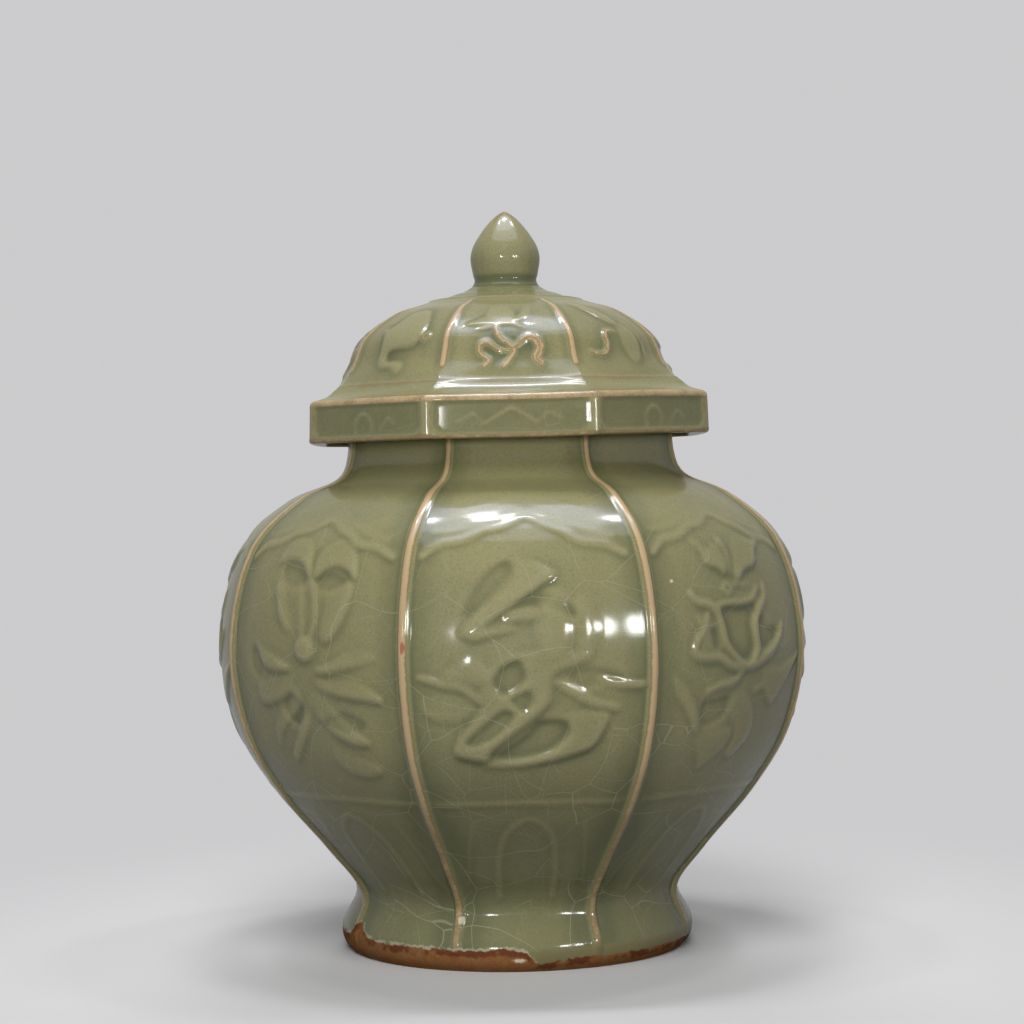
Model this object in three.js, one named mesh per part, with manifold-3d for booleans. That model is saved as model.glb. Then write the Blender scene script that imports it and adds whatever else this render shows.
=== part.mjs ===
// Octagonal lidded stoneware jar with a celadon glaze, in millimetres, +Z up.
// The jar stands on z = 0 with its axis on Z, and one of its eight panels faces -Y.
// The wall was pressed in a mould in two halves, luted at the belly, and stands on a trimmed foot
// ring. A separate saucer was dropped in to make the base. The cover is a third pressing, with a
// locating flange luted under it and a lotus bud finial luted on top.
import * as THREE from "three";
import { mergeVertices } from "three/addons/utils/BufferGeometryUtils.js";
import Module from "manifold-3d";

// Jar: its two driving sizes, then each level's share of the belly's radius and of the height.
const BELLY_RADIUS = 110.2;
const MOUTH_HEIGHT = 198.0;
const FOOT_CONTACT_SHARE = 0.558;
const FOOT_EDGE_SHARE = 0.593;
const FOOT_EDGE_LEVEL = 0.043;
const WAIST_SHARE = 0.557;
const WAIST_LEVEL = 0.109;
const STEM_SHARE = 0.655;
const STEM_LEVEL = 0.187;
const FLANK_SHARE = 0.829;
const FLANK_LEVEL = 0.3;
const UPPER_FLANK_SHARE = 0.949;
const UPPER_FLANK_LEVEL = 0.412;
const BELLY_LEVEL = 0.573;
const SHOULDER_SHARE = 0.92;
const SHOULDER_LEVEL = 0.749;
const SHOULDER_EDGE_SHARE = 0.757;
const SHOULDER_EDGE_LEVEL = 0.833;
const NECK_ROOT_SHARE = 0.603;
const NECK_ROOT_LEVEL = 0.873;
const NECK_SHARE = 0.575;
const NECK_LEVEL = 0.912;
const MOUTH_SHARE = 0.571;

// Jar wall, ribs and base.
const WALL = 6.4;
const MOUTH_WALL = 6.0;
const LIP_ROUNDING = 1.6;
const RIB_HEIGHT = 1.5;
const RIB_HALF_WIDTH = 2.3;
const NECK_RIB_HEIGHT = 0.9;
const NECK_RIB_HALF_WIDTH = 1.8;
const FOOT_INNER_RADIUS = 51.0;
const FOOT_OPENING_RADIUS = 45.0;
const SHELF_HEIGHT = 9.5;
const DISC_RADIUS = 50.5;
const DISC_THICKNESS = 5.6;
const DISC_DISH = 2.2;
const DISC_CLEARANCE = 0.4;

// Cover: circumradius of its octagon or circle and height above the mouth rim that it rests on.
const RIM_RADIUS = 76.6;
const RIM_DROP = 13.2;
const RIM_RISE = 1.3;
const RIM_EDGE_ROUNDING = 1.4;
const LEDGE_RADIUS = 67.6;
const LEDGE_RISE = 7.4;
const LEDGE_EDGE = 1.2;
const COVE_RADIUS = 62.2;
const COVE_RISE = 10.6;
const DOME_FOOT_RADIUS = 60.2;
const DOME_FOOT_RISE = 15.2;
const DOME_FLANK_RADIUS = 56.2;
const DOME_FLANK_RISE = 24.2;
const DOME_SHOULDER_RADIUS = 44.6;
const DOME_SHOULDER_RISE = 34.0;
const RING_RADIUS = 29.4;
const RING_RISE = 38.9;
const RING_HEIGHT = 0.9;
const COLLAR_RADIUS = 14.6;
const COLLAR_RISE = 42.8;
const COLLAR_TOP_RADIUS = 12.4;
const COLLAR_TOP_RISE = 44.2;
const SKIRT_WALL = 5.0;
const DOME_WALL = 6.0;
const LAND_THICKNESS = 4.0;
const LID_TURN = THREE.MathUtils.degToRad(-2.3);
const DOME_RIB_HEIGHT = 0.8;
const DOME_RIB_HALF_WIDTH = 1.6;
const RIM_RIB_HEIGHT = 0.7;
const RIM_RIB_HALF_WIDTH = 2.2;

// Locating flange and bud finial.
const FLANGE_WALL = 4.6;
const FLANGE_DEPTH = 13.5;
const FLANGE_TAPER = 1.2;
const FLANGE_CLEARANCE = 1.6;
const BUD_NECK_RADIUS = 11.4;
const BUD_NECK_HEIGHT = 3.4;
const BUD_RADIUS = 12.7;
const BUD_BELLY_HEIGHT = 11.2;
const BUD_HEIGHT = 27.8;
const BUD_SHOULDER_RADIUS = 8.8;
const BUD_SHOULDER_HEIGHT = 19.6;
const BUD_TIP_RADIUS = 0.9;

// Shape of the plan: eight panels, whose sides run from a circle (0) to a true octagon (1).
const PANELS = 8;
const PANEL_ANGLE = (2 * Math.PI) / PANELS;
const FRONT_ANGLE = -Math.PI / 2;
const FOOT_FLATNESS = 0;
const BELLY_FLATNESS = 0.18;
const NECK_FLATNESS = 0.6;
const RIM_FLATNESS = 1;
const LEDGE_FLATNESS = 0.85;
const DOME_FLATNESS = 0.25;

// Fineness of the surfaces.
const RIB_STEPS = 4;
const PANEL_STEPS = 4;
const ROUND_SEGMENTS = 48;
const BUD_SEGMENTS = 32;
const MARGIN = 1;

const wasm = await Module();
wasm.setup();

// A closed geometry as a solid, for cutting.
function solidOf(geometry) {
  const bare = geometry.clone();
  bare.deleteAttribute("normal");
  bare.deleteAttribute("uv");
  const merged = mergeVertices(bare, 1e-4);
  return new wasm.Manifold(
    new wasm.Mesh({
      numProp: 3,
      vertProperties: new Float32Array(merged.attributes.position.array),
      triVerts: new Uint32Array(merged.index.array),
    }),
  );
}

// A solid back as a geometry, with flat-shaded facets.
function geometryOf(solid) {
  const mesh = solid.getMesh();
  const geometry = new THREE.BufferGeometry();
  geometry.setAttribute("position", new THREE.BufferAttribute(mesh.vertProperties, 3));
  geometry.setIndex(new THREE.BufferAttribute(mesh.triVerts, 1));
  geometry.computeVertexNormals();
  return geometry;
}

// One level of the ribbed plan: its crest radius, height, flatness of sides, and rib size.
function station(radius, height, flatness, ribHeight, ribHalfWidth) {
  return { radius, height, flatness, ribHeight, ribHalfWidth };
}

// A smooth run of stations through chosen ones, from one of them to another.
function stationsThrough(chosen, from, to, stepsPerSpan) {
  const curve = new THREE.CatmullRomCurve3(
    chosen.map((s) => new THREE.Vector3(s.radius, s.height, s.flatness)),
    false,
    "centripetal",
  );
  const spans = chosen.length - 1;
  const first = chosen.indexOf(from);
  const last = chosen.indexOf(to);
  const rows = [];
  for (let k = first; k < last; k++) {
    const below = chosen[k];
    const above = chosen[k + 1];
    const steps = k + 1 === last ? stepsPerSpan + 1 : stepsPerSpan;
    for (let i = 0; i < steps; i++) {
      const share = i / stepsPerSpan;
      const point = curve.getPoint((k + share) / spans);
      rows.push(
        station(
          point.x,
          point.y,
          THREE.MathUtils.clamp(point.z, 0, 1),
          THREE.MathUtils.lerp(below.ribHeight, above.ribHeight, share),
          THREE.MathUtils.lerp(below.ribHalfWidth, above.ribHalfWidth, share),
        ),
      );
    }
  }
  return rows;
}

// Radius of a panel's surface, its ribs apart, at an angle from the panel's middle.
function panelRadius(row, angle) {
  const corner = row.radius - row.ribHeight;
  const side = (corner * Math.cos(PANEL_ANGLE / 2)) / Math.cos(angle);
  return THREE.MathUtils.lerp(corner, side, row.flatness);
}

// The plan at one station: for each panel a rib across its corner, then the panel's own curve.
function planOf(row) {
  const points = [];
  const half = PANEL_ANGLE / 2;
  const ribAngle = Math.min(row.ribHalfWidth / row.radius, half / 2);
  for (let panel = 0; panel < PANELS; panel++) {
    const corner = FRONT_ANGLE + (panel - 0.5) * PANEL_ANGLE;
    for (let i = 0; i < RIB_STEPS; i++) {
      const across = (2 * i) / RIB_STEPS - 1;
      const swell = row.ribHeight * (1 - across * across) ** 2;
      const angle = across * ribAngle;
      const radius = panelRadius(row, half - Math.abs(angle)) + swell;
      points.push([radius * Math.cos(corner + angle), radius * Math.sin(corner + angle)]);
    }
    for (let i = 0; i < PANEL_STEPS; i++) {
      const angle = ribAngle + (i / PANEL_STEPS) * (PANEL_ANGLE - 2 * ribAngle);
      const radius = panelRadius(row, angle - half);
      points.push([radius * Math.cos(corner + angle), radius * Math.sin(corner + angle)]);
    }
  }
  return points;
}

// A closed loft through ribbed plans, with a flat cap at each end.
function ribbedLoft(rows) {
  const positions = [];
  const faces = [];
  const plans = rows.map(planOf);
  const count = plans[0].length;
  plans.forEach((plan, r) => plan.forEach(([x, y]) => positions.push(x, y, rows[r].height)));
  for (let r = 0; r + 1 < rows.length; r++) {
    for (let i = 0; i < count; i++) {
      const a = r * count + i;
      const b = r * count + ((i + 1) % count);
      faces.push(a, b, b + count, a, b + count, a + count);
    }
  }
  const bottom = positions.length / 3;
  positions.push(0, 0, rows[0].height, 0, 0, rows[rows.length - 1].height);
  const topRow = (rows.length - 1) * count;
  for (let i = 0; i < count; i++) {
    const next = (i + 1) % count;
    faces.push(bottom, next, i, bottom + 1, topRow + i, topRow + next);
  }
  const geometry = new THREE.BufferGeometry();
  geometry.setAttribute("position", new THREE.Float32BufferAttribute(positions, 3));
  geometry.setIndex(faces);
  return geometry;
}

// A turned solid about Z, from [radius, height] points that run up from the axis and back to it.
function turned(profile, segments = ROUND_SEGMENTS) {
  const points = profile.map(([radius, height]) => new THREE.Vector2(radius, height));
  return new THREE.LatheGeometry(points, segments).rotateX(Math.PI / 2);
}

// A quarter-round of [radius, height] points between two ends, bulging towards a corner.
function roundedCorner(from, corner, to, steps = 3) {
  const curve = new THREE.QuadraticBezierCurve(
    new THREE.Vector2(...from),
    new THREE.Vector2(...corner),
    new THREE.Vector2(...to),
  );
  return curve.getPoints(steps).map((p) => [p.x, p.y]);
}

// A station of the jar, from its shares of the belly's radius and of the height.
function jarStation(radiusShare, level, flatness, ribHeight, ribHalfWidth) {
  return station(radiusShare * BELLY_RADIUS, level * MOUTH_HEIGHT, flatness, ribHeight, ribHalfWidth);
}

const bodyRib = [RIB_HEIGHT, RIB_HALF_WIDTH];
const neckRib = [NECK_RIB_HEIGHT, NECK_RIB_HALF_WIDTH];
const waistStation = jarStation(WAIST_SHARE, WAIST_LEVEL, BELLY_FLATNESS, ...bodyRib);
const bellyStation = jarStation(1, BELLY_LEVEL, BELLY_FLATNESS, ...bodyRib);
const neckStation = jarStation(NECK_SHARE, NECK_LEVEL, NECK_FLATNESS, ...neckRib);
const mouthStation = jarStation(MOUTH_SHARE, 1, NECK_FLATNESS, ...neckRib);

// The jar's chosen stations, from the ground to the mouth.
const jarStations = [
  jarStation(FOOT_CONTACT_SHARE, 0, FOOT_FLATNESS, 0, RIB_HALF_WIDTH),
  jarStation(FOOT_EDGE_SHARE, FOOT_EDGE_LEVEL, FOOT_FLATNESS, RIB_HEIGHT / 3, RIB_HALF_WIDTH),
  waistStation,
  jarStation(STEM_SHARE, STEM_LEVEL, BELLY_FLATNESS, ...bodyRib),
  jarStation(FLANK_SHARE, FLANK_LEVEL, BELLY_FLATNESS, ...bodyRib),
  jarStation(UPPER_FLANK_SHARE, UPPER_FLANK_LEVEL, BELLY_FLATNESS, ...bodyRib),
  bellyStation,
  jarStation(SHOULDER_SHARE, SHOULDER_LEVEL, BELLY_FLATNESS, ...bodyRib),
  jarStation(SHOULDER_EDGE_SHARE, SHOULDER_EDGE_LEVEL, BELLY_FLATNESS, ...bodyRib),
  jarStation(NECK_ROOT_SHARE, NECK_ROOT_LEVEL, NECK_FLATNESS, ...neckRib),
  neckStation,
  mouthStation,
];
const mouthInnerRadius = panelRadius(mouthStation, 0) - MOUTH_WALL;

// The hollow of the jar: the foot opening, the shelf for the base, the inside wall and the mouth.
function jarHollow() {
  const seat = DISC_RADIUS + DISC_CLEARANCE;
  const discTop = SHELF_HEIGHT + DISC_THICKNESS;
  const inside = stationsThrough(jarStations, waistStation, mouthStation, 2)
    .filter((row) => row.height > discTop + WALL && row.height < neckStation.height)
    .map((row) => [Math.min(panelRadius(row, 0) - WALL, BELLY_RADIUS - 2 * WALL), row.height]);
  return turned([
    [0, -MARGIN],
    [FOOT_INNER_RADIUS, -MARGIN],
    [FOOT_INNER_RADIUS, 0],
    [FOOT_OPENING_RADIUS, SHELF_HEIGHT / 2],
    [FOOT_OPENING_RADIUS, SHELF_HEIGHT],
    [seat, SHELF_HEIGHT],
    [seat, discTop],
    ...inside,
    [mouthInnerRadius, neckStation.height],
    [mouthInnerRadius, MOUTH_HEIGHT + MARGIN],
    [0, MOUTH_HEIGHT + MARGIN],
  ]);
}

// The mouth's outer lip, rounded over into the flat rim that carries the cover.
function lipRows() {
  const start = MOUTH_HEIGHT - LIP_ROUNDING;
  return roundedCorner([0, start], [0, MOUTH_HEIGHT], [LIP_ROUNDING, MOUTH_HEIGHT]).map(([inset, height]) =>
    station(
      mouthStation.radius - inset,
      height,
      NECK_FLATNESS,
      NECK_RIB_HEIGHT * (1 - inset / (2 * LIP_ROUNDING)),
      NECK_RIB_HALF_WIDTH,
    ),
  );
}

// The pressed half from the ground to the belly, with the trimmed foot ring and its shelf.
function lowerWall() {
  const outside = ribbedLoft(stationsThrough(jarStations, jarStations[0], bellyStation, 3));
  return geometryOf(solidOf(outside).subtract(solidOf(jarHollow())));
}

// The pressed half from the belly to the mouth.
function upperWall() {
  const rows = stationsThrough(jarStations, bellyStation, mouthStation, 3).filter(
    (row) => row.height < MOUTH_HEIGHT - LIP_ROUNDING,
  );
  const outside = ribbedLoft([...rows, ...lipRows()]);
  return geometryOf(solidOf(outside).subtract(solidOf(jarHollow())));
}

// The dropped-in base: a shallow saucer whose rim lies on the shelf inside the foot.
function baseDisc() {
  const top = SHELF_HEIGHT + DISC_THICKNESS;
  const flat = FOOT_OPENING_RADIUS - DISC_THICKNESS;
  return turned([
    [0, SHELF_HEIGHT - DISC_DISH],
    [flat * 0.6, SHELF_HEIGHT - DISC_DISH * 0.85],
    [flat, SHELF_HEIGHT],
    [DISC_RADIUS, SHELF_HEIGHT],
    [DISC_RADIUS, top - MARGIN],
    [DISC_RADIUS - MARGIN, top],
    [flat, top - DISC_DISH * 0.3],
    [flat * 0.6, top - DISC_DISH * 0.85],
    [0, top - DISC_DISH],
  ]);
}

// A station of the cover, its height counted from the mouth rim.
function coverStation(radius, rise, flatness, ribHeight, ribHalfWidth) {
  return station(radius, MOUTH_HEIGHT + rise, flatness, ribHeight, ribHalfWidth);
}

// The upright octagonal rim, rounded over at both edges.
function rimRows() {
  const inset = RIM_EDGE_ROUNDING;
  const low = -RIM_DROP;
  const below = roundedCorner([inset, low], [0, low], [0, low + inset]);
  const above = roundedCorner([0, RIM_RISE - inset], [0, RIM_RISE], [inset, RIM_RISE + inset * 0.4]);
  return [...below, ...above].map(([cut, rise]) =>
    coverStation(RIM_RADIUS - cut, rise, RIM_FLATNESS, RIM_RIB_HEIGHT * (1 - cut / inset), RIM_RIB_HALF_WIDTH),
  );
}

// The cover above its rim: ledge, cove, ribbed dome, the ring that ends the ribs, and the collar.
function domeRows() {
  const rib = [DOME_RIB_HEIGHT, DOME_RIB_HALF_WIDTH];
  const chosen = [
    coverStation(COVE_RADIUS, COVE_RISE, DOME_FLATNESS, 0, DOME_RIB_HALF_WIDTH),
    coverStation(DOME_FOOT_RADIUS, DOME_FOOT_RISE, DOME_FLATNESS, ...rib),
    coverStation(DOME_FLANK_RADIUS, DOME_FLANK_RISE, DOME_FLATNESS, ...rib),
    coverStation(DOME_SHOULDER_RADIUS, DOME_SHOULDER_RISE, DOME_FLATNESS, ...rib),
    coverStation(RING_RADIUS, RING_RISE, 0, DOME_RIB_HEIGHT, DOME_RIB_HALF_WIDTH / 2),
  ];
  const ring = [
    coverStation(RING_RADIUS - RING_HEIGHT / 2, RING_RISE + RING_HEIGHT, 0, 0, DOME_RIB_HALF_WIDTH / 2),
    coverStation(RING_RADIUS - 3 * RING_HEIGHT, RING_RISE + RING_HEIGHT, 0, 0, DOME_RIB_HALF_WIDTH / 2),
    coverStation(COLLAR_RADIUS, COLLAR_RISE, 0, 0, DOME_RIB_HALF_WIDTH / 2),
    coverStation(COLLAR_TOP_RADIUS, COLLAR_TOP_RISE, 0, 0, DOME_RIB_HALF_WIDTH / 2),
  ];
  return [...stationsThrough(chosen, chosen[0], chosen[chosen.length - 1], 3), ...ring];
}

function ledgeRows() {
  const rise = THREE.MathUtils.lerp(RIM_RISE + RIM_EDGE_ROUNDING * 0.4, LEDGE_RISE, 0.45);
  const radius = THREE.MathUtils.lerp(RIM_RADIUS - RIM_EDGE_ROUNDING, LEDGE_RADIUS, 0.55);
  return [
    coverStation(radius, rise, RIM_FLATNESS, 0, RIM_RIB_HALF_WIDTH),
    coverStation(LEDGE_RADIUS, LEDGE_RISE, LEDGE_FLATNESS, 0, RIM_RIB_HALF_WIDTH),
    coverStation(LEDGE_RADIUS - LEDGE_EDGE, LEDGE_RISE + LEDGE_EDGE / 2, LEDGE_FLATNESS, 0, RIM_RIB_HALF_WIDTH),
  ];
}

const flangeRadius = mouthInnerRadius - FLANGE_CLEARANCE;
const flangeInnerRadius = flangeRadius - FLANGE_WALL;

// The hollow under the cover: the octagonal skirt's inside, and the dome's inside above it.
function coverHollow() {
  const skirt = ribbedLoft([
    coverStation(RIM_RADIUS - SKIRT_WALL, -RIM_DROP - MARGIN, RIM_FLATNESS, 0, RIM_RIB_HALF_WIDTH),
    coverStation(RIM_RADIUS - SKIRT_WALL, 0, RIM_FLATNESS, 0, RIM_RIB_HALF_WIDTH),
  ]);
  const dome = turned([
    [0, MOUTH_HEIGHT - MARGIN],
    [flangeInnerRadius, MOUTH_HEIGHT - MARGIN],
    [flangeInnerRadius, MOUTH_HEIGHT + LAND_THICKNESS],
    [DOME_FOOT_RADIUS - 1.4 * DOME_WALL, MOUTH_HEIGHT + COVE_RISE],
    [DOME_FLANK_RADIUS - 1.2 * DOME_WALL, MOUTH_HEIGHT + DOME_FLANK_RISE - DOME_WALL],
    [DOME_SHOULDER_RADIUS - DOME_WALL, MOUTH_HEIGHT + DOME_SHOULDER_RISE - DOME_WALL],
    [RING_RADIUS - DOME_WALL, MOUTH_HEIGHT + RING_RISE - DOME_WALL],
    [0, MOUTH_HEIGHT + RING_RISE - DOME_WALL / 2],
  ]);
  return solidOf(skirt).add(solidOf(dome));
}

// The pressed cover: a domed shell of eight ribbed panels over an upright octagonal rim.
function lidCover() {
  const outside = ribbedLoft([...rimRows(), ...ledgeRows(), ...domeRows()]);
  return geometryOf(solidOf(outside).subtract(coverHollow()));
}

// The flange luted under the cover, which drops into the mouth and keeps the cover central.
function lidFlange() {
  const foot = MOUTH_HEIGHT - FLANGE_DEPTH;
  return turned([
    [flangeInnerRadius, MOUTH_HEIGHT],
    [flangeInnerRadius, foot],
    [flangeRadius - FLANGE_TAPER, foot],
    [flangeRadius, foot + 2 * FLANGE_TAPER],
    [flangeRadius, MOUTH_HEIGHT],
    [flangeInnerRadius, MOUTH_HEIGHT],
  ]);
}

// The finial: a pointed lotus bud on a short neck.
function lidFinial() {
  const base = MOUTH_HEIGHT + COLLAR_TOP_RISE;
  const outline = new THREE.SplineCurve([
    new THREE.Vector2(BUD_NECK_RADIUS, 0),
    new THREE.Vector2(BUD_NECK_RADIUS, BUD_NECK_HEIGHT),
    new THREE.Vector2(BUD_RADIUS, BUD_BELLY_HEIGHT),
    new THREE.Vector2(BUD_SHOULDER_RADIUS, BUD_SHOULDER_HEIGHT),
    new THREE.Vector2(BUD_TIP_RADIUS, BUD_HEIGHT),
  ]);
  const side = outline.getPoints(16).map((p) => [Math.max(p.x, BUD_TIP_RADIUS), base + p.y]);
  return turned([[0, base], ...side, [0, base + BUD_HEIGHT + BUD_TIP_RADIUS / 2]], BUD_SEGMENTS);
}

const glaze = { color: 0x7f8763, roughness: 0.22, metalness: 0 };
const bareClay = { color: 0x9a5f3a, roughness: 0.85, metalness: 0 };

// A named piece in its own finish.
function piece(name, geometry, finish) {
  const mesh = new THREE.Mesh(geometry, new THREE.MeshStandardMaterial(finish));
  mesh.name = name;
  return mesh;
}

const jar = new THREE.Group();
jar.add(
  piece("lower_wall", lowerWall(), glaze),
  piece("upper_wall", upperWall(), glaze),
  piece("base_disc", baseDisc(), glaze),
);

const lid = new THREE.Group();
lid.rotation.z = LID_TURN;
lid.add(
  piece("lid_cover", lidCover(), glaze),
  piece("lid_flange", lidFlange(), bareClay),
  piece("lid_finial", lidFinial(), glaze),
);

const lidded_jar = new THREE.Group();
lidded_jar.add(jar, lid);

export default lidded_jar;
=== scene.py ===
"""Dressed model of an octagonal celadon jar with its cover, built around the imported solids.

Lengths are millimetres while a surface is worked out and metres in the meshes. Z is up and the
front panel faces -Y. A surface point has an angle round the axis, 0 at the middle of the front
panel and growing to the right, so it lies at (R sin a, -R cos a, z).
"""

import logging
import math
from dataclasses import dataclass, field
from enum import Enum

import bpy
import numpy as np
from mathutils import Matrix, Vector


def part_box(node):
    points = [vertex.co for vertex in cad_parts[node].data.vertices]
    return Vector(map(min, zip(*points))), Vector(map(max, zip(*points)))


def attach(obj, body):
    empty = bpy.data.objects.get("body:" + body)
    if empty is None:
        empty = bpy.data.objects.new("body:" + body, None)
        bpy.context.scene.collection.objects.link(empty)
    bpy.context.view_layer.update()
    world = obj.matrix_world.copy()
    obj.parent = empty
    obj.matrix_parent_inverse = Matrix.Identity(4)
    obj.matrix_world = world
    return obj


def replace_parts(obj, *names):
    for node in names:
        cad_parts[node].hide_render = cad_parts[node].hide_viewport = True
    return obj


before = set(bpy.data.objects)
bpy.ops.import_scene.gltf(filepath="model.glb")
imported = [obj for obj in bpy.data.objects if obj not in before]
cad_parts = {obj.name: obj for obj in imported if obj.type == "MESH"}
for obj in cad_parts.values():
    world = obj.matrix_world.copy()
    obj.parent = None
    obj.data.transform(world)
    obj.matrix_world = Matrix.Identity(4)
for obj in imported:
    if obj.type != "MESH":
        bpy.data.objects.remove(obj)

LOG = logging.getLogger("lidded_jar")
MM = 0.001
PANELS = 8
PANEL_ANGLE = 2 * math.pi / PANELS

# Millimetres above the glaze's lower edge that stand for full glaze and for bare clay.
GLAZED = 20.0
BARE = -3.0

# Samples for each knot of a curve, before they are spaced evenly, and the least length of a normal.
FINE_STEPS = 60
TINY = 1e-9

# Sections of strokes and ribs: distances in half widths where a side begins and ends to slope.
BAND_SIDE = (0.7, 1.15)
BAND_DIP = 0.35
STEP_FRONT = (-1.1, -0.5)
STEP_BACK = (-0.35, 1.1)
STEP_END = (0.9, 1.15)
ROUND_POWER = 1.5
RIB_SIDE = (0.62, 1.12)
RIB_CROWN = 0.8

# A patch's edge as shares of its slope's width, the height of its far side, and a safe margin.
PATCH_EDGE = (-0.3, 0.65)
PATCH_FAR_SIDE = 0.25
MARGIN = 1.0

# Share of the clay's shape that its glaze leaves sharp.
SHARP = 0.85

Array = np.ndarray
Point = tuple[float, float]
Span = tuple[float, float]
Colour = tuple[float, float, float]
Level = tuple[float, float, float, float, float, float]


def smooth_step(low: float, high: float, values: Array) -> Array:
    """A soft step from 0 at low to 1 at high: three x squared less two x cubed."""
    x = np.clip((values - low) / (high - low), 0.0, 1.0)
    return x * x * (3.0 - 2.0 * x)


def soft_fall(low: float, high: float, values: Array) -> Array:
    """A soft step down from 1 at low to 0 at high: one less the soft step."""
    return 1.0 - smooth_step(low, high, values)


def graded(values: Array, over: Span, ends: Span) -> Array:
    """Goes softly from the first of two ends to the second while the values cross a span."""
    return ends[0] + (ends[1] - ends[0]) * smooth_step(*over, values)


def bell(values: Array, centre: float, width: float) -> Array:
    """A bell curve of height 1 round a centre: e to the minus square of the distance in widths."""
    return np.exp(-(((values - centre) / width) ** 2))


def soften(values: Array, passes: int) -> Array:
    """Blurs a ring grid by repeated quarter, half, quarter averages along both ways.

    Args:
        values: Grid of rows by columns, whose columns go all the way round.
        passes: Number of averages; the blur's width in cells is the root of half of it.

    Returns:
        The blurred grid.
    """
    out = values.astype(float)
    for _ in range(passes):
        out = 0.25 * np.roll(out, 1, 1) + 0.5 * out + 0.25 * np.roll(out, -1, 1)
        padded = np.pad(out, ((1, 1), (0, 0)), mode="edge")
        out = 0.25 * padded[:-2] + 0.5 * padded[1:-1] + 0.25 * padded[2:]
    return out


def under_glaze(clay: Array, passes: int) -> Array:
    """The clay's height as the glaze shows it: its sharp share blurred once, the rest in passes."""
    return SHARP * soften(clay, 1) + (1.0 - SHARP) * soften(clay, passes)


def through(knots: Array, slopes: Array, at: Array, places: Array) -> Array:
    """A cubic through knots with given slopes: the four Hermite weights times values and slopes.

    Args:
        knots: Values at the places, one row each.
        slopes: Their slopes.
        at: Where the curve is wanted.
        places: Where the knots lie.

    Returns:
        One row for each wanted place.
    """
    k = np.clip(np.searchsorted(places, at, side="right") - 1, 0, len(places) - 2)
    width = (places[k + 1] - places[k])[:, None]
    u = (at - places[k])[:, None] / width
    return (
        (1 + 2 * u) * (1 - u) ** 2 * knots[k]
        + u * (1 - u) ** 2 * width * slopes[k]
        + u * u * (3 - 2 * u) * knots[k + 1]
        - u * u * (1 - u) * width * slopes[k + 1]
    )


def run_through(knots: Array, spacing: float, smoothing: int = 0) -> Array:
    """Carries a smooth curve through knots and samples it at even steps of its length.

    Args:
        knots: Rows of radius, height and any further values.
        spacing: Distance between samples, in millimetres.
        smoothing: Number of averages that ease the bends of the sampled curve.

    Returns:
        The samples, as rows like those of the knots.
    """
    chord = np.concatenate([[0.0], np.cumsum(np.hypot(*np.diff(knots[:, :2], axis=0).T) ** 0.5)])
    places = np.linspace(0.0, chord[-1], FINE_STEPS * len(knots))
    fine = through(knots, np.gradient(knots, chord, axis=0), places, chord)
    along = length_along(fine[:, 0], fine[:, 1])
    even = np.linspace(0.0, along[-1], max(2, int(round(along[-1] / spacing)) + 1))
    out = np.stack([np.interp(even, along, column) for column in fine.T], axis=1)
    for _ in range(smoothing):
        out[1:-1] = 0.25 * out[:-2] + 0.5 * out[1:-1] + 0.25 * out[2:]
    return out


def length_along(radius: Array, height: Array) -> Array:
    """Length along a profile at each of its points: the running sum of its steps."""
    return np.concatenate([[0.0], np.cumsum(np.hypot(np.diff(radius), np.diff(height)))])


def arc(start: Point, corner: Point, end: Point, steps: int) -> list[Point]:
    """Points of a rounded corner: the quadratic curve from start to end that leans to the corner.

    Args:
        start: Where the curve leaves one side.
        corner: The sharp corner that it rounds.
        end: Where it meets the other side.
        steps: Number of steps along it.

    Returns:
        The points, with both ends.
    """
    t = np.linspace(0.0, 1.0, steps + 1)[:, None]
    a, b, c = (np.array(p, dtype=float) for p in (start, corner, end))
    curve = (1 - t) ** 2 * a + 2 * t * (1 - t) * b + t * t * c
    return [(float(x), float(y)) for x, y in curve]


def segment_gap(start: Array, end: Array, across: Array, along: Array) -> tuple[Array, Array]:
    """Finds the place of a straight piece of line that is nearest to each point of a panel.

    The share of the way along the piece is the dot product of the piece and the way to the point,
    over the square of the piece's length, kept from 0 to 1.

    Args:
        start: First end of the piece.
        end: Its other end.
        across: Distance of each point from the panel's middle line, in millimetres.
        along: Length of each point up the wall, in millimetres.

    Returns:
        The share of the way along the piece, and the distance from it.
    """
    dx, dy = end - start
    x, y = across - start[0], along - start[1]
    share = np.clip((x * dx + y * dy) / (dx * dx + dy * dy), 0.0, 1.0)
    return share, np.hypot(x - share * dx, y - share * dy)


@dataclass(frozen=True)
class Profile:
    """A wall's outside from below upwards: radius at the rib crests, height and their companions."""

    radius: Array
    height: Array
    flatness: Array
    rib: Array
    rib_half_width: Array

    @property
    def along(self) -> Array:
        """Length up the wall at each row."""
        return length_along(self.radius, self.height)

    def along_at(self, height: Array) -> Array:
        """Length up the wall at a height."""
        return np.interp(height, self.height, self.along)

    def panel(self, angle: Array) -> Array:
        """Radius without ribs at each row for angles from a panel's middle.

        A blend from a circle to the straight side of an octagon, whose radius is the corner's
        times the cosine of half a panel over the cosine of the angle.

        Args:
            angle: Angles from the middle of a panel.

        Returns:
            The radius, a row for each row of the profile.
        """
        corner = (self.radius - self.rib)[:, None]
        side = corner * math.cos(PANEL_ANGLE / 2) / np.cos(angle)[None, :]
        return corner + (side - corner) * self.flatness[:, None]


class Cut(Enum):
    """How a stroke is shaped across its width."""

    ROUND = "round"
    BAND = "band"
    STEP = "step"


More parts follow.
